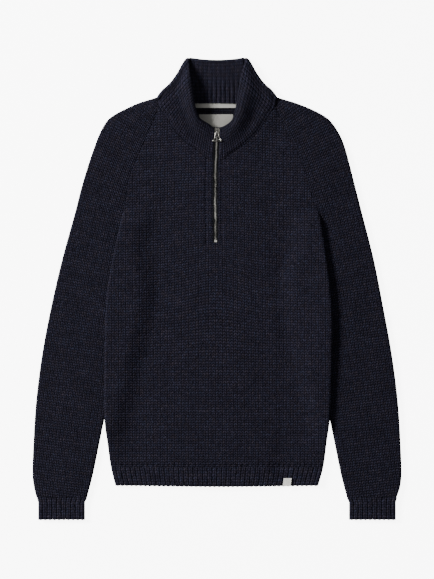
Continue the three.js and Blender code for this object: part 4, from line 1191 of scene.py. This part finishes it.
def carry_material(node, material):
    piece = bpy.data.objects[node]
    piece.data.materials.clear()
    piece.data.materials.append(material)


# Light, floor and camera
PHOTO_HEIGHT = 579  # pixels
MM_PER_PIXEL = 1.8
ORIGIN_ROW = 289  # the row of the picture on which the origin lies
CAMERA_HEIGHT = 6.0


def studio():
    floor_mesh = bpy.data.meshes.new("floor")
    reach = 6.0
    corners = [(x * reach, y * reach, 0) for x, y in ((-1, -1), (1, -1), (1, 1), (-1, 1))]
    floor_mesh.from_pydata(corners, [], [(0, 1, 2, 3)])
    floor = linked_object("floor", floor_mesh)
    floor.location.z = -0.0006
    n = Nodes("floor_white")
    n.set("Base Color", (0.95, 0.95, 0.95, 1))
    n.set("Roughness", 0.9)
    n.set("Emission Color", (1, 1, 1, 1))
    n.set("Emission Strength", 7)
    floor.data.materials.append(n.material)
    floor.visible_diffuse = False
    floor.visible_glossy = False
    world = bpy.data.worlds.new("studio")
    world.use_nodes = True
    world.node_tree.nodes["Background"].inputs[0].default_value = (1, 1, 1, 1)
    world.node_tree.nodes["Background"].inputs[1].default_value = 0.22
    bpy.context.scene.world = world
    for name, spot, size, power in (
        ("key", (-4.6, 1.9, 3.0), 1.5, 1010),
        ("fill", (1.6, 0.6, 3.4), 2.6, 34),
    ):
        light = bpy.data.lights.new(name, "AREA")
        light.size = size
        light.energy = power
        lamp = linked_object(name, light)
        lamp.location = spot
        lamp.rotation_euler = (Vector((0, 0, 0)) - Vector(spot)).to_track_quat("-Z", "Y").to_euler()


def camera():
    data = bpy.data.cameras.new("camera")
    data.sensor_fit = "VERTICAL"
    data.sensor_height = 36
    frame_height = PHOTO_HEIGHT * MM_PER_PIXEL * MM
    data.lens = data.sensor_height * CAMERA_HEIGHT / frame_height
    data.clip_end = 50
    piece = linked_object("camera", data)
    piece.location = (0, (ORIGIN_ROW - PHOTO_HEIGHT / 2) * MM_PER_PIXEL * MM, CAMERA_HEIGHT)
    bpy.context.scene.camera = piece


camera()
studio()
knit = knit_material("knit_melange", gain=0.72, depth=1.6)
sleeve_knit = knit_material("sleeve_melange", course_share=0.6, gain=0.8, depth=1.3)
rib = knit_material("rib_melange", ribbed=0.35, course_share=0.45, gain=0.53)
collar_rib = knit_material("collar_rib", ribbed=0.42, course_share=0.55, gain=0.585)
collar_inside = knit_material("collar_inside", course_share=0.36, gain=0.5, across=2.0)
# A darker copy of the knit: painted shade for the back's upper face, deep inside the neck
painted_shade_knit = knit_material("painted_shade_knit", gain=0.3)
front = dress(front_cloth(), knit, replaces=["front_body"])
back = dress(back_cloth(), knit, replaces=["back_body"], inside=painted_shade_knit)
sleeves = [dress(sleeve_cloth(s), sleeve_knit, replaces=[f"sleeve_{s}"]) for s in ("left", "right")]
cuffs = [dress(cuff_cloth(s), rib, replaces=[f"cuff_{s}"]) for s in ("left", "right")]
hem = dress(hem_cloth(), rib, replaces=["hem_front"])
collar = dress(collar_cloth(), collar_rib, replaces=["collar"], inside=collar_inside)
carry_material("hem_back", rib)

metal = metal_material("antique_silver", (0.05, 0.048, 0.044, 1), (0.40, 0.39, 0.36, 1))
bright_metal = metal_material("worn_silver", (0.26, 0.25, 0.23, 1), (0.85, 0.83, 0.78, 1))
carry_material("zip_stop", bright_metal)
dress(zip_slider(), metal, replaces=["zip_slider"])
dress(zip_pull(), metal, body="pull", replaces=["zip_pull"])
dress(zip_teeth(), bright_metal, replaces=["zip_chain"])
tape_navy = woven_material("tape_navy", (0.012, 0.013, 0.02, 1), (0.004, 0.004, 0.007, 1), 0.0011, 0.75)
tape_cream = woven_material(
    "tape_cream", (0.32, 0.315, 0.29, 1), (0.2, 0.195, 0.18, 1), 0.0010, 0.7, shaded=(-0.041, 0.022)
)
satin_cream = woven_material(
    "satin_cream", (0.25, 0.245, 0.225, 1), (0.15, 0.146, 0.13, 1), 0.0006, 0.4, 0.1, shaded=(-0.034, 0.026)
)
tab_cream = woven_material("tab_cream", (0.66, 0.65, 0.60, 1), (0.5, 0.49, 0.45, 1), 0.0008, 0.6)
carry_material("zip_tape", tape_navy)
carry_material("neck_tape", tape_cream)
carry_material("neck_label", satin_cream)
carry_material("hem_label", tab_cream)
